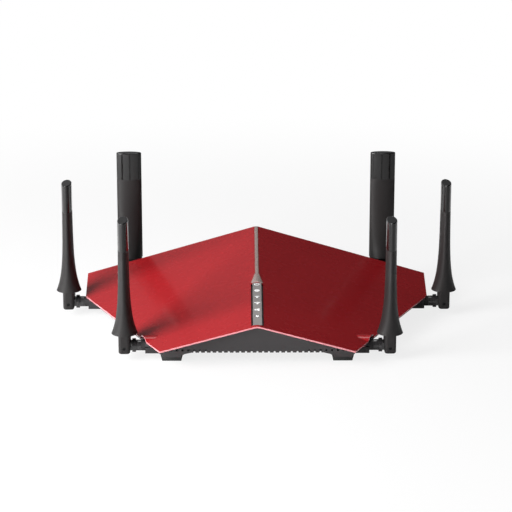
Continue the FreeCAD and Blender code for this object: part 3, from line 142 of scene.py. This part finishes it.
def solderMask(name, look):
    # glass-epoxy board under green solder mask: tracks run on a grid, where two wave bands and a noise agree
    material, tree, surface, place = startMaterial(name, look["shader"])
    bands = [addNode(tree, "TexWave", {"wave_type": "BANDS", "bands_direction": axis,
                                       "Scale": 0.314 / (look["trackMm"] * mm), "Distortion": 0.0},
                     {"Vector": place}).outputs["Fac"] for axis in ("X", "Y")]
    patches = addNode(tree, "TexNoise", {"Scale": 1 / (look["patchMm"] * mm), "Detail": 1.0}, {"Vector": place})
    choice = addNode(tree, "Math", {"operation": "GREATER_THAN", 1: 0.5}, {0: patches.outputs["Fac"]})
    tracks = addNode(tree, "Mix", {"data_type": "FLOAT"},
                     {0: choice.outputs[0], 2: bands[0], 3: bands[1]})
    edge = addNode(tree, "Math", {"operation": "GREATER_THAN", 1: 0.6}, {0: tracks.outputs[0]})
    tint = addNode(tree, "Mix", {"data_type": "RGBA", 6: toLinear(look["colour"]), 7: toLinear(look["track"])},
                   {0: edge.outputs[0]})
    tree.links.new(tint.outputs[2], surface.inputs["Base Color"])
    relief = addNode(tree, "Bump", {"Strength": 1.0, "Distance": look["depthMm"] * mm}, {"Height": edge.outputs[0]})
    tree.links.new(relief.outputs[0], surface.inputs["Normal"])
    return material


# the finishes: what each surface is made of, and how it was made
finishes = {
    # injection-moulded ABS under clear lacquer: a deep red with soft, slightly wavy reflections
    "lacqueredRedAbs": mouldedPlastic("lacqueredRedAbs", {
        "colour": "#A11E23", "shade": "#991B20", "mottleMm": 60, "grainMm": 9.0, "depthMm": 0.0012,
        "roughness": (0.24, 0.3), "coatToo": True,
        "shader": {"IOR": 1.5, "Specular IOR Level": 0.1, "Coat Weight": 0.26, "Coat Roughness": 0.1,
                   "Coat IOR": 1.45}}),
    # the cover's rim faces, coloured pale pink: a painted highlight standing in for the light its rounded edge catches
    "paintedRimHighlight": mouldedPlastic("paintedRimHighlight", {
        "colour": "#D2868C", "shade": "#CA7E84", "mottleMm": 20, "grainMm": 1.2, "depthMm": 0.002,
        "roughness": (0.16, 0.22),
        "shader": {"IOR": 1.5, "Coat Weight": 0.6, "Coat Roughness": 0.05}}),
    # vacuum-metallised ABS strip, satin: warm grey
    "satinTrim": flakePaint("satinTrim", {
        "colour": "#C6B3AC", "shade": "#BDAAA3", "flakeMm": 0.9, "depthMm": 0.004, "roughness": (0.26, 0.36),
        "shader": {"IOR": 1.5, "Metallic": 0.45, "Coat Weight": 0.4, "Coat Roughness": 0.12}}),
    # grey metallic paint on the indicator panel
    "panelPaint": flakePaint("panelPaint", {
        "colour": "#9E9997", "shade": "#979290", "flakeMm": 0.8, "depthMm": 0.003, "roughness": (0.36, 0.46),
        "shader": {"IOR": 1.5, "Metallic": 0.25, "Coat Weight": 0.25, "Coat Roughness": 0.2}}),
    # the light windows: smoked polycarbonate printed in the panel's grey
    "smokedWindow": mouldedPlastic("smokedWindow", {
        "colour": "#8E8B8A", "shade": "#878483", "mottleMm": 8, "grainMm": 0.8, "depthMm": 0.001,
        "roughness": (0.24, 0.3), "shader": {"IOR": 1.58, "Coat Weight": 0.3, "Coat Roughness": 0.08}}),
    # screen-printed white ink, a little thick at its edges, with a painted glow: a weak emission makes it brighter
    # than the lamps alone
    "whiteInkPaintedGlow": mouldedPlastic("whiteInkPaintedGlow", {
        "colour": "#F8F8F7", "shade": "#F0F0EF", "mottleMm": 3, "grainMm": 0.5, "depthMm": 0.003,
        "roughness": (0.5, 0.6),
        "shader": {"IOR": 1.5, "Emission Color": toLinear("#FFFFFF"), "Emission Strength": 0.35}}),
    # spark-textured black ABS of the casing
    "texturedCasing": mouldedPlastic("texturedCasing", {
        "colour": "#2C2A2B", "shade": "#262425", "mottleMm": 35, "grainMm": 0.9, "depthMm": 0.05,
        "roughness": (0.5, 0.66), "shader": {"IOR": 1.53, "Specular IOR Level": 0.3}}),
    # the front grille: the same plastic, finer and lighter
    "fineGrille": mouldedPlastic("fineGrille", {
        "colour": "#383637", "shade": "#323031", "mottleMm": 40, "grainMm": 0.8, "depthMm": 0.03,
        "roughness": (0.42, 0.55), "shader": {"IOR": 1.53, "Specular IOR Level": 0.3}}),
    # moulded rubber: dull, with a soft sheen at grazing angles
    "footRubber": mouldedPlastic("footRubber", {
        "colour": "#2F2F2F", "shade": "#292929", "mottleMm": 12, "grainMm": 0.9, "depthMm": 0.06,
        "roughness": (0.72, 0.85), "shader": {"IOR": 1.52, "Specular IOR Level": 0.3, "Sheen Weight": 0.1}}),
    "satinButton": mouldedPlastic("satinButton", {
        "colour": "#2A2A2B", "shade": "#242425", "mottleMm": 8, "grainMm": 0.8, "depthMm": 0.01,
        "roughness": (0.3, 0.4), "shader": {"IOR": 1.53}}),
    # glass-filled nylon of the jacks: the fibres leave a faint swirl
    "filledNylon": mouldedPlastic("filledNylon", {
        "colour": "#1F1F20", "shade": "#2B2B2C", "mottleMm": 4, "grainMm": 0.8, "depthMm": 0.02,
        "roughness": (0.4, 0.55), "shader": {"IOR": 1.53}}),
    # nickel-plated steel sheet
    "nickelSteel": drawnMetal("nickelSteel", {
        "colour": "#C4C1BA", "shade": "#A9A69F", "lineMm": 0.8, "stretch": (1.0, 0.1, 1.0), "depthMm": 0.003,
        "roughness": (0.2, 0.34), "shader": {"Metallic": 1.0}}),
    # gold-plated spring wire of the socket contacts
    "goldContact": drawnMetal("goldContact", {
        "colour": "#E3B95C", "shade": "#CFA24A", "lineMm": 0.5, "stretch": (1.0, 0.2, 1.0), "depthMm": 0.001,
        "roughness": (0.18, 0.28), "shader": {"Metallic": 1.0}}),
    # extruded aluminium, left bare
    "bareAluminium": drawnMetal("bareAluminium", {
        "colour": "#CFD0D2", "shade": "#B4B5B8", "lineMm": 0.8, "stretch": (1.0, 0.08, 1.0), "depthMm": 0.008,
        "roughness": (0.3, 0.45), "shader": {"Metallic": 1.0}}),
    "zincScrew": drawnMetal("zincScrew", {
        "colour": "#B9B7B2", "shade": "#98958F", "lineMm": 0.5, "stretch": (1.0, 1.0, 0.3), "depthMm": 0.004,
        "roughness": (0.3, 0.45), "shader": {"Metallic": 1.0}}),
    "circuitBoard": solderMask("circuitBoard", {
        "colour": "#145A32", "track": "#1F7A45", "trackMm": 1.4, "patchMm": 11, "depthMm": 0.05,
        "shader": {"Roughness": 0.35, "IOR": 1.55, "Coat Weight": 0.3, "Coat Roughness": 0.15}}),
    # cast acrylic of the light guide, frosted
    "frostedAcrylic": mouldedPlastic("frostedAcrylic", {
        "colour": "#E6EAEE", "shade": "#DCE1E6", "mottleMm": 6, "grainMm": 0.8, "depthMm": 0.01,
        "roughness": (0.2, 0.35), "shader": {"IOR": 1.49, "Transmission Weight": 0.6}}),
    "epoxyChip": mouldedPlastic("epoxyChip", {
        "colour": "#232324", "shade": "#1C1C1D", "mottleMm": 5, "grainMm": 0.6, "depthMm": 0.01,
        "roughness": (0.5, 0.62), "shader": {"IOR": 1.55}}),
    # shrink sleeve over the capacitors' cans
    "shrinkSleeve": mouldedPlastic("shrinkSleeve", {
        "colour": "#20283A", "shade": "#1A2130", "mottleMm": 6, "grainMm": 1.0, "depthMm": 0.01,
        "roughness": (0.25, 0.35), "shader": {"IOR": 1.52}}),
    # extruded jacket of the thin coaxial leads
    "leadJacket": mouldedPlastic("leadJacket", {
        "colour": "#202021", "shade": "#2A2A2B", "mottleMm": 10, "grainMm": 0.8, "depthMm": 0.01,
        "roughness": (0.35, 0.45), "shader": {"IOR": 1.38}}),
    # fine-textured black ABS of the antennas
    "texturedAntenna": mouldedPlastic("texturedAntenna", {
        "colour": "#222020", "shade": "#1D1B1B", "mottleMm": 30, "grainMm": 0.8, "depthMm": 0.02,
        "roughness": (0.44, 0.54), "shader": {"IOR": 1.53, "Specular IOR Level": 0.24}}),
    # the arms: the same plastic from a smoother mould
    "smoothArm": mouldedPlastic("smoothArm", {
        "colour": "#262425", "shade": "#201E1F", "mottleMm": 18, "grainMm": 0.9, "depthMm": 0.01,
        "roughness": (0.26, 0.32),
        "shader": {"IOR": 1.53, "Specular IOR Level": 0.5, "Coat Weight": 0.4, "Coat Roughness": 0.15}}),
    # polished black ABS of the antenna tips
    "polishedTip": mouldedPlastic("polishedTip", {
        "colour": "#0F0E0E", "shade": "#0C0B0B", "mottleMm": 20, "grainMm": 2.0, "depthMm": 0.002,
        "roughness": (0.12, 0.16), "coatToo": True,
        "shader": {"IOR": 1.53, "Specular IOR Level": 0.3, "Coat Weight": 0.25, "Coat Roughness": 0.04}}),
    # steel pin, blackened
    "blackenedPin": drawnMetal("blackenedPin", {
        "colour": "#2A2A2B", "shade": "#1C1C1D", "lineMm": 0.5, "stretch": (1.0, 0.2, 1.0), "depthMm": 0.002,
        "roughness": (0.35, 0.5), "shader": {"Metallic": 1.0}}),
}
print("finishes made:", len(finishes))

nodeFinishes = {
    "top_cover": "lacqueredRedAbs", "spine_trim": "satinTrim", "led_panel": "panelPaint",
    "led_windows": "smokedWindow", "led_bezel": "texturedCasing", "light_guide": "frostedAcrylic",
    "led_board": "circuitBoard", "bottom_shell": "texturedCasing", "front_grille": "fineGrille",
    "rear_panel": "texturedCasing", "rubber_feet": "footRubber", "power_button": "satinButton",
    "wps_button": "satinButton", "reset_button": "satinButton", "tact_switches": "filledNylon",
    "lan_jacks": "filledNylon", "wan_jack": "filledNylon", "usb3_jack": "nickelSteel",
    "usb2_jack": "nickelSteel", "power_jack": "filledNylon", "mainboard": "circuitBoard",
    "case_screws": "zincScrew", "board_screws": "zincScrew", "processor": "epoxyChip",
    "heat_sink": "bareAluminium", "shield_cans": "nickelSteel", "capacitors": "shrinkSleeve",
    "coax_leads": "leadJacket",
}
antennaNames = [f"{place}_{side}" for place in ("front", "side", "rear") for side in ("left", "right")]
for antennaName in antennaNames:
    nodeFinishes["antenna_shell_" + antennaName] = "texturedAntenna"
    nodeFinishes["antenna_tip_" + antennaName] = "polishedTip"
    nodeFinishes["radiator_" + antennaName] = "circuitBoard"
    nodeFinishes["hinge_pin_" + antennaName] = "blackenedPin"
    nodeFinishes["swivel_arm_" + antennaName] = "smoothArm"
for nodeName, piece in nodes.items():
    piece.data.materials.clear()
    piece.data.materials.append(finishes[nodeFinishes[nodeName]])
print("finishes on", len(nodes), "nodes")


def corners(nodeName):
    # a node's points as one array, in metres
    mesh = nodes[nodeName].data
    points = np.empty(len(mesh.vertices) * 3, np.float32)
    mesh.vertices.foreach_get("co", points)
    return points.reshape(-1, 3).astype(float)


def makePiece(name, points, faces, finishName, body):
    mesh = bpy.data.meshes.new(name)
    mesh.from_pydata(points.tolist(), [], faces.tolist())
    mesh.materials.append(finishes[finishName])
    piece = bpy.data.objects.new(name, mesh)
    scene.collection.objects.link(piece)
    mesh.validate()
    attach(piece, body)
    return piece


# top cover: the node's own triangles joined into one surface, kept flat on the wings and smooth on the hoods,
# with a painted highlight: its upright front and side faces get a pale pink finish
coverLook = {"sharpDeg": 20, "flatDeg": 0.3, "upright": 0.08, "rimOutMm": 1.0}


def makeCover(look):
    mesh = nodes["top_cover"].data.copy()
    mesh.name = "cover_shell"
    work = bmesh.new()
    work.from_mesh(mesh)
    bmesh.ops.remove_doubles(work, verts=work.verts, dist=0.002 * mm)
    work.to_mesh(mesh)
    work.free()
    count = len(mesh.polygons)
    normals, centres = np.empty(count * 3, np.float32), np.empty(count * 3, np.float32)
    mesh.polygons.foreach_get("normal", normals)
    mesh.polygons.foreach_get("center", centres)
    normals, centres = normals.reshape(-1, 3), centres.reshape(-1, 3)
    low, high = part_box("top_cover")
    outwards = normals[:, 0] * np.sign(centres[:, 0])
    # the upright front and side faces, which take the pale pink painted highlight
    paintedHighlightRim = (np.abs(normals[:, 2]) < look["upright"]) & (
        (centres[:, 1] < low.y + look["rimOutMm"] * mm) | ((outwards > 0.3) & (np.abs(centres[:, 0]) > 0.45 * high.x)))
    mesh.materials.append(finishes["paintedRimHighlight"])
    mesh.polygons.foreach_set("material_index", paintedHighlightRim.astype(np.int32))
    mesh.polygons.foreach_set("use_smooth", np.ones(count, bool))
    mesh.set_sharp_from_angle(angle=math.radians(look["sharpDeg"]))
    # a wing is every face that lies along its side's largest face; its border is sharp, so it shades as a plane
    areas = np.empty(count, np.float32)
    mesh.polygons.foreach_get("area", areas)
    wing = np.zeros(count, np.int8)
    for mark, onSide in ((1, centres[:, 0] < 0), (2, centres[:, 0] > 0)):
        upwards = onSide & (normals[:, 2] > 0.5)
        largest = normals[np.argmax(np.where(upwards, areas, 0))]
        wing[upwards & (normals @ largest > math.cos(math.radians(look["flatDeg"])))] = mark
    loopEdges = np.empty(len(mesh.loops), np.int32)
    mesh.loops.foreach_get("edge_index", loopEdges)
    loopMarks = np.repeat(wing, 3)
    lowest, highest = np.full(len(mesh.edges), 9), np.full(len(mesh.edges), -1)
    np.minimum.at(lowest, loopEdges, loopMarks)
    np.maximum.at(highest, loopEdges, loopMarks)
    sharp = np.empty(len(mesh.edges), bool)
    mesh.attributes["sharp_edge"].data.foreach_get("value", sharp)
    mesh.attributes["sharp_edge"].data.foreach_set("value", sharp | (lowest != highest))
    mesh.update()
    piece = bpy.data.objects.new("cover_shell", mesh)
    scene.collection.objects.link(piece)
    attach(piece, "casing")
    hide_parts("top_cover")
    print("cover joined:", count, "faces,", int(paintedHighlightRim.sum()), "on the rim")


makeCover(coverLook)

# indicator symbols: flat ink strokes on the windows, each a line carried along the panel's slope.
# A stroke is a path of points on the panel with a width, drawn as a band of quads with a small thickness.
symbolLook = {"strokeMm": 0.72, "liftMm": 0.02, "inkMm": 0.07, "sizeMm": 2.45, "arcSteps": 28}


def arcPath(centre, radius, start, end, steps, squash=1.0):
    # points on an ellipse: centre + radius * (squash * cos t, sin t) for t from start to end, in degrees
    t = np.radians(np.linspace(start, end, steps))
    return np.stack([centre[0] + radius * squash * np.cos(t), centre[1] + radius * np.sin(t)], 1)


def strokeBand(path, width, closed):
    # both sides of a path: each point moved by half the width along the normal of the path's own direction
    if closed:
        path = path[:-1]
        ahead, behind = np.roll(path, -1, 0), np.roll(path, 1, 0)
    else:
        ahead = np.vstack([path[1:], 2 * path[-1:] - path[-2:-1]])
        behind = np.vstack([2 * path[:1] - path[1:2], path[:-1]])
    along = (ahead - behind) / np.linalg.norm(ahead - behind, axis=1)[:, None]
    aside = np.stack([-along[:, 1], along[:, 0]], 1) * width / 2
    return path + aside, path - aside


def strokeMesh(path, width, closed, ink):
    # a closed bar: left and right sides at two levels, joined around, with an end face where the path is open
    left, right = strokeBand(path, width, closed)
    count = len(left)
    rings = np.stack([np.c_[right, np.zeros(count)], np.c_[right, np.full(count, ink)],
                      np.c_[left, np.full(count, ink)], np.c_[left, np.zeros(count)]], 1)
    index = np.arange(count * 4).reshape(count, 4)
    after = np.roll(index, -1, 0) if closed else index[1:]
    before = index if closed else index[:-1]
    quads = [np.stack([before[:, k], after[:, k], after[:, (k + 1) % 4], before[:, (k + 1) % 4]], 1) for k in range(4)]
    faces = np.concatenate(quads)
    if not closed:
        faces = np.vstack([faces, index[0][None, :], index[-1][None, ::-1]])
    return rings.reshape(-1, 3), faces


def makeSymbols(look):
    points = corners("led_windows")
    order = np.argsort(points[:, 1])
    centres = np.array([part.mean(0) for part in np.array_split(points[order], 6)])
    rise = (centres[-1, 2] - centres[0, 2]) / (centres[-1, 1] - centres[0, 1])
    slope = math.atan(rise)
    along = np.array([0, math.cos(slope), math.sin(slope)])
    upward = np.array([0, -math.sin(slope), math.cos(slope)])
    level = (points @ upward).max() + look["liftMm"] * mm
    size, steps = look["sizeMm"], look["arcSteps"]
    ring = arcPath((0, 0), 0.86 * size, 0, 360, 2 * steps)
    small = look["strokeMm"]
    symbols = {
        "power": [(arcPath((0, 0), 0.86 * size, 125, 415, 2 * steps), False),
                  (np.array([[0, 0.1], [0, 1.0]]) * size, False)],
        "globe": [(ring, True), (arcPath((0, 0), 0.86 * size, 0, 360, 2 * steps, 0.42), True),
                  (np.array([[-0.8, 0], [0.8, 0]]) * size, False)],
        "radioNear": [(arcPath((0, -0.7 * size), 0.72 * size, 48, 132, steps), False),
                      (arcPath((0, -0.7 * size), 1.3 * size, 48, 132, steps), False),
                      (arcPath((0, -0.62 * size), 0.14 * size, 0, 360, steps), True)],
        "radioFar": [(arcPath((0, -0.8 * size), r * size, 48, 132, steps), False) for r in (0.62, 1.14, 1.66)]
                    + [(arcPath((0, -0.72 * size), 0.14 * size, 0, 360, steps), True)],
        "link": [(arcPath((-0.42 * size, 0), 0.46 * size, 0, 360, steps), True),
                 (arcPath((0.5 * size, 0.5 * size), 0.26 * size, 0, 360, steps), True),
                 (arcPath((0.5 * size, -0.5 * size), 0.26 * size, 0, 360, steps), True),
                 (np.array([[-0.1, 0.2], [0.3, 0.38]]) * size, False),
                 (np.array([[-0.1, -0.2], [0.3, -0.38]]) * size, False)],
        "plug": [(np.array([[0, -0.95], [0, -0.35]]) * size, False),
                 (arcPath((0, 0.05 * size), 0.5 * size, 180, 360, steps), False),
                 (np.array([[-0.62, 0.1], [0.62, 0.1]]) * size, False),
                 (np.array([[-0.28, 0.1], [-0.28, 0.8]]) * size, False),
                 (np.array([[0.28, 0.1], [0.28, 0.8]]) * size, False)],
    }
    for centre, (name, strokes) in zip(centres[::-1], symbols.items()):
        allPoints, allFaces, used = [], [], 0
        middle = along * (centre @ along)
        for path, closed in strokes:
            flat, faces = strokeMesh(path * mm, small * mm, closed, look["inkMm"] * mm)
            flat[:, 2] += level + len(allPoints) * 0.004 * mm
            allPoints.append(flat[:, :1] * [1, 0, 0] + flat[:, 1:2] * along + flat[:, 2:] * upward + middle)
            allFaces.append(faces + used)
            used += len(flat)
        makePiece("symbol_" + name, np.vstack(allPoints), np.vstack(allFaces), "whiteInkPaintedGlow", "casing")
    print("symbols drawn:", len(symbols))


makeSymbols(symbolLook)

# contact wires of the network sockets, one thin square wire each
contactLook = {"count": 8, "pitchMm": 1.02, "wireMm": 0.42, "fromMouthMm": 1.8, "fromBackMm": 3.0,
               "underTopMm": 0.4, "fallMm": 3.4, "steps": 12, "sides": 4}


def makeContacts(look):
    # a wire runs inwards from the mouth, and falls with the square of the way in; its section is turned to follow
    along = np.linspace(0, 1, look["steps"])
    turn = (np.arange(look["sides"]) + 0.5) * 2 * np.pi / look["sides"]
    radius = look["wireMm"] * mm / math.sqrt(2)
    spots = (np.arange(look["count"]) - (look["count"] - 1) / 2) * look["pitchMm"] * mm
    allPoints = []
    for opening in frame["record"]["physics"]["openings"]:
        low, high = np.array(opening["box_m"])
        start, end = high[1] - look["fromMouthMm"] * mm, low[1] + look["fromBackMm"] * mm
        y = start + (end - start) * along
        z = high[2] - (look["underTopMm"] + look["fallMm"] * along ** 2) * mm
        way = np.stack([np.full(len(along), end - start), -2 * look["fallMm"] * mm * along], 1)
        way /= np.linalg.norm(way, axis=1)[:, None]
        across = radius * np.sin(turn)[None, :]
        ring = np.stack([np.broadcast_to(radius * np.cos(turn), (len(along), len(turn))),
                         y[:, None] - way[:, 1:] * across, z[:, None] + way[:, :1] * across], 2)
        wires = ring[None] + np.array([1.0, 0, 0]) * ((low[0] + high[0]) / 2 + spots)[:, None, None, None]
        allPoints.append(wires.reshape(-1, 3))
    points = np.vstack(allPoints)
    grid = np.arange(len(points)).reshape(-1, len(along), len(turn))
    near, far = grid[:, :-1], grid[:, 1:]
    sides = np.stack([near, far, np.roll(far, -1, 2), np.roll(near, -1, 2)], 3).reshape(-1, 4)
    faces = np.vstack([sides, grid[:, 0], grid[:, -1, ::-1]])
    makePiece("socket_contacts", points, faces, "goldContact", "casing")
    print("contact wires made:", len(grid))


makeContacts(contactLook)

# floor: a large flat sheet whose edge is out of sight
floorLook = {"halfM": 30.0, "colour": "#FFFFFF", "nearM": 0.3, "farM": 0.9, "nearGlow": 0.8}


def makeFloor(look):
    half = look["halfM"]
    mesh = bpy.data.meshes.new("floor")
    mesh.from_pydata([(-half, -half, 0), (half, -half, 0), (half, half, 0), (-half, half, 0)], [], [(0, 1, 2, 3)])
    floor = bpy.data.objects.new("floor", mesh)
    scene.collection.objects.link(floor)
    material = bpy.data.materials.new("paperFloor")
    material.use_nodes = True
    tree = material.node_tree
    tree.nodes.clear()
    paper = addNode(tree, "BsdfDiffuse", {"Color": toLinear(look["colour"])})
    glow = addNode(tree, "Emission", {"Color": toLinear(look["colour"]), "Strength": 1.0})
    rays = addNode(tree, "LightPath")
    seen = addNode(tree, "Math", {"operation": "MAXIMUM"},
                   {0: rays.outputs["Is Camera Ray"], 1: rays.outputs["Is Transmission Ray"]})
    far = addNode(tree, "VectorMath", {"operation": "LENGTH"}, {0: addNode(tree, "TexCoord").outputs["Object"]})
    fade = addNode(tree, "MapRange", {"interpolation_type": "SMOOTHSTEP", "From Min": look["nearM"],
                                      "From Max": look["farM"], "To Min": look["nearGlow"], "To Max": 1.0},
                   {"Value": far.outputs["Value"]})
    share = addNode(tree, "Math", {"operation": "MULTIPLY"}, {0: seen.outputs[0], 1: fade.outputs[0]})
    both = addNode(tree, "MixShader", links={0: share.outputs[0], 1: paper.outputs[0], 2: glow.outputs[0]})
    addNode(tree, "OutputMaterial", links={"Surface": both.outputs[0]})
    mesh.materials.append(material)


makeFloor(floorLook)

# world: white for the camera, and for reflections a white band near the horizon under a dimmer studio
worldLook = {"white": "#FFFFFF", "room": "#F4F4F6", "leftStrength": 0.5, "rightStrength": 0.05, "bandTop": 0.09}


def makeWorld(look):
    world = bpy.data.worlds.new("studio")
    scene.world = world
    world.use_nodes = True
    tree = world.node_tree
    tree.nodes.clear()
    height = addNode(tree, "SeparateXYZ", links={0: addNode(tree, "TexCoord").outputs["Generated"]})
    across = addNode(tree, "MapRange", {"interpolation_type": "SMOOTHSTEP", "From Min": -0.6, "From Max": 0.35,
                                        "To Min": look["leftStrength"], "To Max": look["rightStrength"]},
                     {"Value": height.outputs["X"]})
    room = addNode(tree, "Background", {"Color": toLinear(look["room"])}, {"Strength": across.outputs[0]})
    white = addNode(tree, "Background", {"Color": toLinear(look["white"]), "Strength": 1.0})
    band = addNode(tree, "MapRange", {"interpolation_type": "SMOOTHSTEP", "From Min": 0.0,
                                      "From Max": look["bandTop"], "To Min": 1.0, "To Max": 0.0},
                   {"Value": height.outputs["Z"]})
    rays = addNode(tree, "LightPath")
    mirrored = addNode(tree, "Math", {"operation": "MAXIMUM"},
                       {0: rays.outputs["Is Glossy Ray"], 1: rays.outputs["Is Transmission Ray"]})
    inBand = addNode(tree, "Math", {"operation": "MULTIPLY"}, {0: mirrored.outputs[0], 1: band.outputs[0]})
    seen = addNode(tree, "Math", {"operation": "MAXIMUM"}, {0: rays.outputs["Is Camera Ray"], 1: inBand.outputs[0]})
    both = addNode(tree, "MixShader", links={0: seen.outputs[0], 1: room.outputs[0], 2: white.outputs[0]})
    addNode(tree, "OutputWorld", links={"Surface": both.outputs[0]})


makeWorld(worldLook)

lampLooks = {
    "keySoftbox": {"at": (-1.0, -0.62, 0.42), "sizeM": 0.85, "watts": 34.0, "towards": (0, 0, 0.03), "mirrored": True},
    "frontFill": {"at": (0.2, -2.2, 0.9), "sizeM": 1.6, "watts": 6.0, "towards": (0, 0, 0.05), "mirrored": False},
    "topStrip": {"at": (0, 0.35, 1.3), "sizeM": 0.5, "watts": 5.0, "towards": (0, 0, 0.05), "mirrored": True},
    "rightFill": {"at": (1.8, 0.9, 1.0), "sizeM": 1.6, "watts": 4.0, "towards": (0, 0, 0.05), "mirrored": False},
}
for lampName, look in lampLooks.items():
    lamp = bpy.data.lights.new(lampName, "AREA")
    lamp.size = look["sizeM"]
    lamp.energy = look["watts"]
    lampObject = bpy.data.objects.new(lampName, lamp)
    lampObject.location = look["at"]
    lampObject.rotation_euler = (Vector(look["towards"]) - Vector(look["at"])).to_track_quat("-Z", "Y").to_euler()
    lampObject.visible_glossy = look["mirrored"]
    lampObject.visible_diffuse = lampName != "topStrip"
    scene.collection.objects.link(lampObject)
print("lamps set:", len(lampLooks))

# camera: in front and above, with a long lens
cameraLook = {"at": (-0.0129, -2.0112, 0.6802), "towards": (-0.0006, 0.0, 0.0684), "lensMm": 155.5, "sensorMm": 36.0}
camera = bpy.data.objects.new("camera", bpy.data.cameras.new("camera"))
camera.data.lens = cameraLook["lensMm"]
camera.data.sensor_width = cameraLook["sensorMm"]
camera.data.clip_start, camera.data.clip_end = 0.05, 100.0
camera.location = cameraLook["at"]
camera.rotation_euler = (Vector(cameraLook["towards"]) - camera.location).to_track_quat("-Z", "Y").to_euler()
scene.collection.objects.link(camera)
scene.camera = camera
scene.view_settings.view_transform = "Standard"
